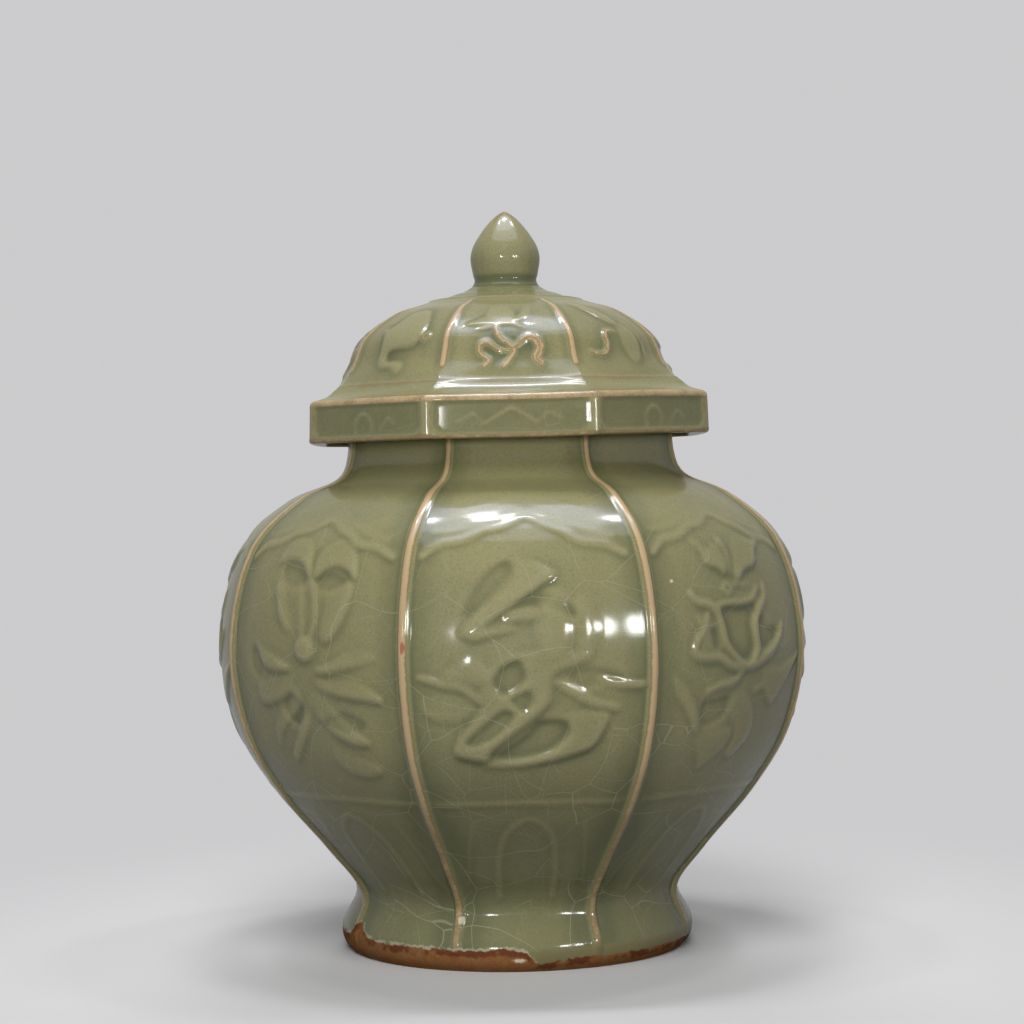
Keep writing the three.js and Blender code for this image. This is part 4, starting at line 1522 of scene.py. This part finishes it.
@dataclass(frozen=True)
class CoverGlaze:
    """How the glaze lies on the cover: buff on ribs, scrolls and edges, deep in the rim's panels, and
    dark on the crown, partly from glaze gathered round the bud and partly as painted shade.

    Reaches count from a corner of the octagon in half widths of its rib. The spans of the rim are
    millimetres from the line where its frame meets its panel, or from its foot.
    """

    wide_blur: int = 30
    full_rib: float = 0.5
    rib_thin: float = 0.85
    rib_reach: Span = (0.5, 1.15)
    band_thin: float = 0.62
    band_falls: Span = (-0.9, 0.4)
    hem_thin: float = 0.58
    hem_falls: Span = (1.0, 2.4)
    post_thin: float = 0.46
    post_place: float = -0.3
    post_width: float = 0.7
    scroll_thin: float = 0.8
    scroll_rises: Span = (0.5, 0.85)
    roll_crest: float = 0.75
    roll_falls: Span = (-0.8, 0.8)
    rim_crest: float = 0.6
    dome_crest: float = 1.1
    hollow_depth: float = 0.4
    beside_pool: float = 0.35
    beside_reach: Span = (1.8, 0.9)
    panel_pool: float = 0.42
    # Darkens the crown round the bud: partly gathered glaze, partly painted shade.
    crown_pool: float = 0.36
    crown_falls: Span = (-3.0, -1.0)
    deepest: float = 0.85

    def marks(self, cover: "Cover", profile: Profile, worn: Array, rim: Array,
              ornament: Array, lines: Array) -> Marks:
        """Works out the marks of the cover's outside.

        Args:
            cover: The cover, for its sizes and its columns.
            profile: The cover's outside.
            worn: How thin the glaze is on each row of itself.
            rim: Which rows belong to the rim.
            ornament: Height of the ornament.
            lines: Height of the ornament's scrolls alone.

        Returns:
            The marks of the outer rows.
        """
        marks = Marks.plain(ornament.shape)
        near, wide = soften(ornament, 1), soften(ornament, self.wide_blur)
        side, top, foot = cover.frame_places(profile)
        reach = cover.grid.reach(profile)
        standing = np.clip(profile.rib / self.full_rib, 0, 1)[:, None]
        on_rim = np.where(rim, 1.0, 0.0)[:, None]
        thin = (
            self.rib_thin * soft_fall(*self.rib_reach, reach) * standing,
            np.broadcast_to(worn[:, None], near.shape),
            self.band_thin * on_rim * soft_fall(*self.band_falls, top - cover.frame_top),
            self.hem_thin * on_rim * soft_fall(*self.hem_falls, foot),
            self.post_thin * on_rim * bell(side - cover.frame_side, self.post_place, self.post_width),
            self.scroll_thin * (1.0 - on_rim) * smooth_step(*self.scroll_rises, lines),
        )
        marks.thin = np.clip(np.maximum.reduce(thin), 0, 1)
        roll = self.roll_crest * on_rim * soft_fall(*self.roll_falls, side - cover.frame_side)
        raised = np.where(rim[:, None], near / self.rim_crest, self.dome_crest * near)
        marks.crest = np.clip(np.maximum(roll, raised), 0, 1)
        beside = self.beside_pool * standing * bell(reach, *self.beside_reach)
        panels = self.panel_pool * on_rim * cover.recess(side, top, foot) / cover.rim_recess
        # Crown darkened: partly gathered glaze, partly painted shade.
        crown = self.crown_pool * soft_fall(*self.crown_falls, profile.radius - cover.ring_radius)[:, None]
        marks.pool = np.clip((wide - near) / self.hollow_depth + beside + panels + crown, 0, self.deepest)
        return marks


@dataclass
class Cover:
    """The cover: its domed shell with ledge and octagonal rim, its flange and its bud finial.

    A level has a radius and a height above the mouth, then the flatness of its sides, its share
    of the rib's height and half width, and how thin the glaze is on it.
    """

    mouth_height: float
    rim_radius: float = 79.0
    rim_lean: float = 0.03
    warp: float = 1.7
    warp_clearance: float = 8.0
    rim_drop: float = 13.2
    rim_rise: float = 1.3
    rim_rounding: float = 1.4
    rim_spacing: float = 0.5
    rim_thin: tuple[float, float, float] = (0.3, 0.7, 0.5)
    rim_recess: float = 0.75
    recess_corners: Span = (1.2, 4.2)
    recess_slope: float = 0.9
    frame_top: float = 1.4
    frame_foot: float = 1.5
    frame_side: float = 2.5
    frame_roll: float = 0.3
    frame_bevel: float = 1.0
    flat_from: float = 0.8
    corner_cut: float = 0.6
    corner_ease: float = 2.1
    rib_height: float = 0.85
    rib_half_width: float = 1.45
    ledge_levels: tuple[Level, ...] = (
        (72.9, 3.3, 1.0, 0.0, 1.0, 0.05),
        (68.5, 5.3, 0.82, 0.0, 1.0, 0.0),
        (66.4, 6.8, 0.68, 0.0, 1.0, 0.3),
    )
    dome_levels: tuple[Level, ...] = (
        (65.9, 7.3, 0.6, 0.0, 1.0, 0.42),
        (64.7, 7.9, 0.52, 0.0, 1.0, 0.1),
        (62.6, 10.4, 0.34, 0.0, 1.0, 0.0),
        (60.2, 15.2, 0.25, 1.0, 1.0, 0.0),
        (56.2, 24.2, 0.25, 1.0, 1.0, 0.0),
        (43.8, 33.8, 0.25, 1.0, 0.85, 0.0),
        (34.2, 36.9, 0.125, 0.8, 0.65, 0.0),
        (30.8, 37.9, 0.0, 0.0, 0.5, 0.0),
        (28.9, 38.5, 0.0, 0.0, 1.0, 0.25),
    )
    crown_levels: tuple[Level, ...] = (
        (28.4, 39.0, 0.0, 0.0, 1.0, 0.38),
        (27.1, 39.3, 0.0, 0.0, 1.0, 0.1),
        (24.2, 39.5, 0.0, 0.0, 1.0, 0.0),
        (19.5, 41.2, 0.0, 0.0, 1.0, 0.0),
        (15.8, 42.3, 0.0, 0.0, 1.0, 0.1),
        (13.6, 43.5, 0.0, 0.0, 1.0, 0.0),
        (12.5, 44.2, 0.0, 0.0, 1.0, 0.0),
    )
    inside_levels: tuple[Point, ...] = (
        (6.0, 35.6), (23.4, 32.9), (38.6, 28.0), (49.3, 18.2), (51.8, 10.6), (48.5, 5.5), (46.9, 4.0),
    )
    inside_spacing: float = 3.0
    land_depth: float = 0.5
    skirt_wall: float = 5.0
    skirt_middle: float = 6.0
    skirt_rounding: Span = (0.8, 1.0)
    seat_radius: float = 46.9
    seat_chamfer: Point = (0.5, 0.4)
    flange_outer: float = 51.6
    flange_inner: float = 47.0
    flange_depth: float = 13.5
    flange_overlap: float = 0.1
    flange_toe: tuple[Point, ...] = ((-1.6, 0.0), (-1.2, 0.0), (-0.3, 0.0), (-0.1, 2.2))
    flange_straight: float = 5.0
    flange_heel: float = 1.2
    turn: float = math.radians(-2.3)
    row_spacing: float = 0.68
    melt: int = 6
    round_columns: int = 192
    grid: RingGrid = field(default_factory=lambda: RingGrid(68, 0.1))
    glaze: CoverGlaze = CoverGlaze()

    @property
    def ledge_radius(self) -> float:
        """Radius where the dome rises from the ledge."""
        return self.dome_levels[0][0]

    @property
    def ring_radius(self) -> float:
        """Radius of the low ring round the crown."""
        return self.crown_levels[0][0]

    def knots(self, levels: tuple[Level, ...]) -> Array:
        """Levels in millimetres, by the mouth's height and the rib's height and half width."""
        sizes = np.array([1.0, 1.0, 1.0, self.rib_height, self.rib_half_width, 1.0])
        return np.array(levels) * sizes + np.array([0.0, self.mouth_height, 0.0, 0.0, 0.0, 0.0])

    def rows(self) -> tuple[Array, int]:
        """Rows up the outside, through the rim's rounded foot and top, the ledge, the dome and the crown.

        Returns:
            Rows of radius, height, flatness, rib, rib half width and how thin the glaze is, and
            how many of them belong to the rim.
        """
        cut, radius, plain = self.rim_rounding, self.rim_radius, (1.0, 0.0, 1.0)
        low, top = -self.rim_drop, self.rim_rise
        foot_thin, edge_thin, end_thin = self.rim_thin
        foot = arc((radius - cut, low), (radius, low), (radius, low + cut), 4)
        rim = [(*place, *plain, foot_thin) for place in foot]
        heights = np.arange(low + cut, top - cut, self.rim_spacing)[1:]
        rim += [(radius - self.rim_lean * (z - low), z, *plain, 0.0) for z in heights]
        radius -= self.rim_lean * (top - low)
        end = (radius - cut, top + 0.5 * cut)
        rim += [(*place, *plain, edge_thin) for place in arc((radius, top - cut), (radius, top), end, 4)]
        ledge = self.knots(((*end, *plain, end_thin), *self.ledge_levels))
        parts = (
            self.knots(tuple(rim)),
            run_through(ledge, self.row_spacing)[1:-1],
            run_through(self.knots(self.dome_levels), self.row_spacing, smoothing=3),
            run_through(self.knots(self.crown_levels), self.row_spacing),
        )
        return np.concatenate(parts), len(rim)

    def underside(self) -> list[Point]:
        """The dome's inside from its middle down to the flat land that rests on the mouth.

        Returns:
            Radius and height of each ring.
        """
        base, seat = self.mouth_height, self.seat_radius
        dome = run_through(np.array(self.inside_levels), self.inside_spacing)
        chamfer = [(seat, base + self.seat_chamfer[1]), (seat + self.seat_chamfer[0], base)]
        return [(float(r), base + float(z)) for r, z in dome] + chamfer

    def frame_places(self, profile: Profile) -> tuple[Array, Array, Array]:
        """Distances of each point of the rim from its panel's side edge, top edge and foot.

        Args:
            profile: The cover's outside.

        Returns:
            The three distances over the ring grid, in millimetres.
        """
        half = profile.radius * math.sin(PANEL_ANGLE / 2)
        middle = profile.radius * math.cos(PANEL_ANGLE / 2)
        side = half[:, None] - middle[:, None] * np.tan(np.abs(self.grid.local))[None, :]
        top = np.broadcast_to((self.mouth_height + self.rim_rise - profile.height)[:, None], side.shape)
        foot = np.broadcast_to((profile.height - self.mouth_height + self.rim_drop)[:, None], side.shape)
        return side, top, foot

    def recess(self, side: Array, top: Array, foot: Array) -> Array:
        """How far the rim's panels lie behind their frame, in a box with rounded corners.

        Args:
            side: Distance from the panel's side edge.
            top: Distance from its top edge.
            foot: Distance from its foot.

        Returns:
            Depths over the ring grid, in millimetres.
        """
        across, down, up = side - self.frame_side, top - self.frame_top, foot - self.frame_foot
        depth = np.inf
        for corner, inward in zip(self.recess_corners, (down, up)):
            gap = np.hypot(np.clip(corner - across, 0, None), np.clip(corner - inward, 0, None))
            depth = np.minimum(depth, corner - gap)
        return self.rim_recess * smooth_step(0.0, self.recess_slope, depth)

    def build_shell(self, material: bpy.types.Material) -> None:
        """Makes the domed shell with its ribs, its ornament and the frame of its rim.

        Args:
            material: The finish.
        """
        rows, rim_rows = self.rows()
        rim = np.arange(len(rows)) < rim_rows
        profile = Profile(*rows[:, :5].T)
        motifs = (COVER_FLOWER, COVER_SCROLL, mirrored(COVER_GOURD), COVER_FLOWER, mirrored(COVER_SCROLL),
                  COVER_GOURD, mirrored(COVER_FLOWER), COVER_GOURD)
        rims = (RIM_CHEVRON, RIM_ARCH) * (PANELS // 2)
        scrolls = [tuple(form for form in motif if isinstance(form, Stroke)) for motif in motifs]
        ornament = self.grid.ornament(profile, [motif + rim_motif for motif, rim_motif in zip(motifs, rims)])
        lines = self.grid.ornament(profile, scrolls)
        marks = self.glaze.marks(self, profile, rows[:, 5], rim, ornament, lines)

        side, top, foot = self.frame_places(profile)
        frame_shape = self.frame_roll * soft_fall(self.frame_bevel, self.frame_side, side)
        frame_shape = np.where(rim[:, None], frame_shape - self.recess(side, top, foot), 0.0)
        clay = self.grid.ribs(profile) + ornament + frame_shape
        radius = self.eased(profile) + under_glaze(clay, self.melt)
        outer = ring_points(radius, self.grid.angle, profile.height)

        inside = self.inner_rings()
        inner = np.stack([ring_points(r[None, :], self.grid.angle, np.array([z]))[0] for r, z in inside])
        depths = [abs(z - self.mouth_height) for _, z in inside]
        land = np.array([[BARE if depth < self.land_depth else GLAZED] for depth in depths])
        points = turned(np.concatenate([inner, outer]), self.turn)
        reach = np.hypot(points[..., 0], points[..., 1])
        lift = smooth_step(self.seat_radius + self.warp_clearance, self.ledge_radius, reach)
        points[..., 2] += self.warp * smooth_step(0.0, self.rim_radius, points[..., 0]) * lift
        shell = Shell("cover_shell", points, Marks.plain(inner.shape[:2], land).followed_by(marks))
        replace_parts(shell.build("lid", "lid_glaze", material), "lid_cover")

    def eased(self, profile: Profile) -> Array:
        """Radius without ribs, with the corners of the flat-sided rows cut back and rounded.

        The rounding is a soft minimum of the panel's radius and the cut corner's: minus the
        logarithm of the sum of both exponentials.

        Args:
            profile: The cover's outside.

        Returns:
            The radius over the ring grid, in millimetres.
        """
        flat = np.clip((profile.flatness - self.flat_from) / (1.0 - self.flat_from), 0, 1)[:, None]
        plain, ease = profile.panel(self.grid.local), self.corner_ease
        cap = (profile.radius - self.corner_cut)[:, None]
        return plain + (-ease * np.logaddexp(-plain / ease, -cap / ease) - plain) * flat

    def inner_rings(self) -> list[tuple[Array, float]]:
        """The inside from the middle of the dome to the foot of the rim's skirt.

        Returns:
            The radius at each column, and the height, of each ring.
        """
        base, low = self.mouth_height, self.mouth_height - self.rim_drop
        skirt = (self.rim_radius - self.skirt_wall) * math.cos(PANEL_ANGLE / 2) / np.cos(self.grid.local)
        root, hem = self.skirt_rounding
        dome = [(np.full(skirt.shape, r), z) for r, z in self.underside()]
        return dome + [
            (skirt - root, base),
            (skirt, base - root),
            (skirt, base - self.skirt_middle),
            (skirt, low + hem),
            (skirt + hem, low),
        ]

    def build_flange(self, material: bpy.types.Material) -> None:
        """Makes the locating flange of bare clay.

        Args:
            material: The finish.
        """
        top, foot = self.mouth_height - self.flange_overlap, self.mouth_height - self.flange_depth
        out, inn, heel = self.flange_outer, self.flange_inner, self.flange_heel
        straight = foot + self.flange_straight
        flat, *toe = [(out + across, foot + up) for across, up in self.flange_toe]
        section = [flat] + arc(*toe, 3) + [(out, straight), (out, top), (inn, top), (inn, straight)]
        section += arc((inn, foot + heel), (inn, foot), (inn + heel, foot), 3)
        piece = lathe("cover_flange", section, self.round_columns, [BARE] * len(section), closed=True)
        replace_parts(piece.build("lid", "bare_clay", material), "lid_flange")

    def build(self, material: bpy.types.Material) -> None:
        """Makes the cover's three pieces."""
        self.build_shell(material)
        self.build_flange(material)
        Bud(self.mouth_height + self.crown_levels[-1][1]).build(material)


@dataclass(frozen=True)
class Bud:
    """The lotus bud finial, whose sides swell in faint petals that close at its tip.

    Its side is given in points of radius and height above its foot. A pair of levels is where a
    soft step begins and ends, or the centre and width of a bell.
    """

    foot: float
    columns: int = 160
    spacing: float = 0.45
    side: tuple[Point, ...] = (
        (12.5, 0.0), (11.9, 0.9), (11.45, 2.0), (11.4, 2.9), (11.75, 3.6), (12.1, 5.6), (12.6, 9.0),
        (12.65, 11.2), (12.1, 13.8), (11.0, 16.3), (9.5, 18.7), (7.9, 21.0), (6.0, 23.4), (3.9, 25.6),
        (1.4, 27.4), (0.5, 27.85),
    )
    petals: int = 4
    petal_swell: float = 0.16
    petal_power: float = 0.7
    petals_rise: Span = (3.0, 9.0)
    petals_close: Span = (21.0, 27.0)
    seam_power: float = 0.35
    tip_thin: float = 0.26
    tip_levels: Span = (21.5, 27.4)
    seam_thin: float = 0.22
    seam_levels: Span = (11.0, 22.0)
    upper_crest: float = 0.7
    upper_levels: Span = (15.0, 26.0)
    lower_crest: float = 0.3
    lower_levels: Span = (5.0, 10.0)
    foot_pool: Span = (2.0, 2.1)
    seam_pool: Span = (9.0, 5.0)
    seam_depth: float = 0.25

    def build(self, material: bpy.types.Material) -> None:
        """Makes the bud: its side run through its points, plus petals that are powers of a cosine.

        Args:
            material: The finish.
        """
        side = run_through(np.array(self.side), self.spacing, smoothing=2)
        angle = np.arange(self.columns) * 2 * math.pi / self.columns
        up = side[:, 1]
        height = up[:, None]
        wave = np.abs(np.cos(self.petals / 2 * angle))[None, :]
        fade = smooth_step(*self.petals_rise, height) * soft_fall(*self.petals_close, height)
        lobes = self.petal_swell * fade * wave ** self.petal_power
        points = ring_points(side[:, :1] + lobes, angle, self.foot + up)
        seams = 1.0 - wave ** self.seam_power
        marks = Marks.plain(points.shape[:2])
        marks.thin = self.tip_thin * smooth_step(*self.tip_levels, height)
        marks.thin = marks.thin + self.seam_thin * seams * smooth_step(*self.seam_levels, height)
        crest = self.upper_crest * smooth_step(*self.upper_levels, height)
        marks.crest += crest + self.lower_crest * smooth_step(*self.lower_levels, height)
        pool = bell(height, *self.foot_pool) + self.seam_depth * seams * bell(height, *self.seam_pool)
        marks.pool = np.clip(pool, 0, 1)
        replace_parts(Shell("cover_bud", points, marks).build("lid", "lid_glaze", material), "lid_finial")


def turned(points: Array, angle: float) -> Array:
    """Points turned about the axis: the plane rotation by an angle.

    Args:
        points: The points, whose last axis is X, Y and Z.
        angle: The turn, in radians, anticlockwise from above.

    Returns:
        The turned points.
    """
    c, s = math.cos(angle), math.sin(angle)
    x, y, z = points[..., 0], points[..., 1], points[..., 2]
    return np.stack([c * x - s * y, s * x + c * y, z], axis=-1)


def lathe(name: str, section: list[Point], columns: int, edge: list[float], closed: bool = False) -> Shell:
    """A turned piece: a section of radius and height carried round the axis.

    Args:
        name: The piece's name.
        section: Points up the outside.
        columns: Number of points round.
        edge: How far above the glaze's edge each point of the section is.
        closed: Whether the section closes on itself instead of ending at poles on the axis.

    Returns:
        The shell.
    """
    angle = np.arange(columns) * 2 * math.pi / columns
    profile = np.array(section)
    shape = (len(section), columns)
    points = ring_points(np.broadcast_to(profile[:, :1], shape), angle, profile[:, 1])
    return Shell(name, points, Marks.plain(shape, np.array(edge)[:, None]), closed=closed)


@dataclass(frozen=True)
class Saucer:
    """The base: a saucer on the wall's shelf, glazed but for the ring that lay there.

    Its two faces are given in points of radius and depth below the level of its edge.
    """

    seat_radius: float
    shelf: float
    top: float
    clearance: float = 0.4
    rounding: float = 0.5
    glaze_radius: float = 39.0
    glaze_slope: float = 0.5
    columns: int = 192
    lower_face: tuple[Point, ...] = ((4.0, 2.2), (20.0, 2.0), (30.0, 1.4), (39.4, 0.2), (44.0, 0.0))
    upper_face: tuple[Point, ...] = ((39.4, 0.7), (30.0, 1.5), (20.0, 2.0), (4.0, 2.2))

    def build(self, material: bpy.types.Material) -> None:
        """Makes the saucer from the middle of its lower face round its edge to that of its upper one.

        Args:
            material: The finish.
        """
        shelf, top, cut = self.shelf, self.top, self.rounding
        rim = self.seat_radius - self.clearance
        below = [(r, shelf - depth) for r, depth in self.lower_face]
        below += [(rim - cut, shelf), (rim, shelf + cut)]
        above = [(rim, top - cut), (rim - cut, top)]
        above += [(r, top - depth) for r, depth in self.upper_face]
        edge = [self.glaze_slope * (self.glaze_radius - r) for r, _ in below] + [GLAZED] * len(above)
        piece = lathe("base_saucer", below + above, self.columns, edge).build("jar", "jar_glaze", material)
        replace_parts(piece, "base_disc")


class LampUse(Enum):
    """What a lamp does: light the matt part of a surface, its gloss, or both."""

    BOTH = "both"
    SHADE = "shade"
    GLEAM = "gleam"


@dataclass(frozen=True)
class Lamp:
    """A round or oval lamp: where it stands round the object, its size in metres and its watts.

    It stands at an azimuth, an elevation and a distance from the point that it is aimed at.
    """

    name: str
    azimuth: float
    elevation: float
    distance: float
    size: tuple[float, float]
    power: float
    use: LampUse = LampUse.BOTH
    colour: Colour = (1.0, 1.0, 1.0)

    def build(self, aim: Matrix) -> None:
        """Makes the lamp, turned to the point that it is aimed at.

        Args:
            aim: The place of that point.
        """
        lamp = bpy.data.lights.new(self.name, "AREA")
        lamp.shape = "ELLIPSE"
        lamp.size, lamp.size_y = self.size
        lamp.energy = self.power
        lamp.color = self.colour
        turn = Matrix.Rotation(math.radians(self.azimuth), 4, "Z")
        tilt = Matrix.Rotation(math.radians(90.0 - self.elevation), 4, "X")
        stand = placed(self.name, lamp, aim @ turn @ tilt @ Matrix.Translation((0, 0, self.distance)))
        stand.visible_camera = False
        stand.visible_glossy = self.use is not LampUse.SHADE
        stand.visible_diffuse = self.use is not LampUse.GLEAM


@dataclass(frozen=True)
class Studio:
    """A pale floor that runs out into a pale surrounding, soft lamps, and the camera."""

    pale: Colour = (0.60, 0.60, 0.61)
    floor_colour: Colour = (0.74, 0.74, 0.75)
    bounce_colour: Colour = (0.08, 0.08, 0.08)
    ambient: Colour = (0.05, 0.05, 0.052)
    floor_reach: float = 8.0
    fade: tuple[float, float] = (0.12, 0.36)
    aim_height: float = 0.13
    lamps: tuple[Lamp, ...] = (
        Lamp("key_right", 36.0, 9.4, 1.3, (0.12, 0.17), 2.2, LampUse.GLEAM),
        Lamp("key_left", 27.0, 9.4, 1.3, (0.14, 0.15), 2.4, LampUse.GLEAM),
        Lamp("fill", -17.0, 8.6, 1.3, (0.14, 0.10), 2.0, LampUse.GLEAM),
        Lamp("front", -4.0, 6.0, 1.5, (0.5, 0.4), 9.4, LampUse.SHADE),
        Lamp("back", 176.0, 30.0, 1.8, (0.9, 0.9), 13.0, LampUse.SHADE),
        Lamp("top", 182.0, 84.5, 1.1, (0.3, 0.11), 2.7),
        Lamp("top_left", -109.0, 73.7, 1.13, (0.10, 0.10), 0.9),
        Lamp("top_right", 104.0, 68.0, 1.17, (0.12, 0.12), 1.2),
        Lamp("glow_wide", 182.0, 88.0, 1.14, (0.92, 0.6), 3.7, LampUse.GLEAM, (0.86, 0.97, 1.35)),
        Lamp("glow_far", 2.0, 86.0, 1.16, (1.3, 1.0), 6.4, LampUse.GLEAM, (0.86, 0.97, 1.35)),
        Lamp("sky", -10.0, 45.0, 1.6, (0.8, 0.8), 13.0, LampUse.SHADE),
    )
    sensor_width: float = 36.0
    focal_pixels: float = 2473.7
    frame_pixels: float = 1024.0
    camera_place: tuple[float, float, float] = (0.00083, -0.9168, 0.16555)
    camera_azimuth: float = -3.1
    camera_pitch: float = -0.419
    camera_roll: float = -1.066

    def floor(self) -> None:
        """Makes the floor, which keeps its shadow near the object and fades into the surrounding."""
        mesh = bpy.data.meshes.new("floor")
        far = self.floor_reach
        mesh.from_pydata([(-far, -far, 0), (far, -far, 0), (far, far, 0), (-far, far, 0)], [], [(0, 1, 2, 3)])
        material = bpy.data.materials.new("floor")
        paint = Paint.of(material)
        seen = paint.seen()
        colour = paint.blend(seen, self.bounce_colour, self.floor_colour)
        matt = paint.node("ShaderNodeBsdfDiffuse", None, {"Color": colour})
        glow = paint.node("ShaderNodeEmission", None, {"Color": self.pale})
        away = paint.value("ShaderNodeVectorMath", {"operation": "LENGTH"}, {0: paint.place()}, "Value")
        paint.surface(paint.mixed(away.step(*self.fade) * seen, matt, glow))
        mesh.materials.append(material)
        placed("floor", mesh)

    def surrounding(self) -> None:
        """Makes the world: dim light on the object, and pale where it is seen."""
        world = bpy.data.worlds.new("studio")
        paint = Paint.of(world)
        dim = paint.node("ShaderNodeBackground", None, {"Color": self.ambient})
        pale = paint.node("ShaderNodeBackground", None, {"Color": self.pale})
        paint.surface(paint.mixed(paint.seen(), dim, pale))
        bpy.context.scene.world = world

    def camera(self) -> None:
        """Makes the camera at the photograph's place, aim and scale."""
        camera = bpy.data.cameras.new("camera")
        camera.sensor_width = self.sensor_width
        camera.lens = self.sensor_width * self.focal_pixels / self.frame_pixels
        place = (
            Matrix.Rotation(math.radians(self.camera_azimuth), 4, "Z")
            @ Matrix.Translation(self.camera_place)
            @ Matrix.Rotation(math.radians(90.0 + self.camera_pitch), 4, "X")
            @ Matrix.Rotation(math.radians(self.camera_roll), 4, "Z")
        )
        bpy.context.scene.camera = placed("camera", camera, place)

    def build(self) -> None:
        """Makes everything that isn't the object."""
        self.floor()
        self.surrounding()
        for lamp in self.lamps:
            lamp.build(Matrix.Translation((0, 0, self.aim_height)))
        self.camera()
        bpy.context.scene.view_settings.view_transform = "Standard"


def fitted_jar() -> Jar:
    """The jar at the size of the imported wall: its radius from the panels' reach along X, plus a rib.

    Returns:
        The jar.
    """
    sketch = Jar(1.0, 1.0)
    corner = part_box("upper_wall")[1]
    flattened = 1 - sketch.body_flatness * (1 - math.cos(PANEL_ANGLE / 2))
    return Jar(corner[0] / MM / flattened + sketch.rib_height, corner[2] / MM)


def main() -> None:
    """Builds the jar, its cover and the studio, and reports each piece."""
    logging.basicConfig(level=logging.INFO, format="%(message)s")
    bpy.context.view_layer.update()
    glaze = Celadon().material()
    jar = fitted_jar()
    LOG.info("belly %.1f mm, mouth %.1f mm", jar.belly_radius, jar.mouth_height)
    jar.build(glaze)
    Saucer(jar.seat_radius, jar.shelf, jar.disc_top).build(glaze)
    Cover(jar.mouth_height).build(glaze)
    Studio().build()


if __name__ == "__main__":
    main()
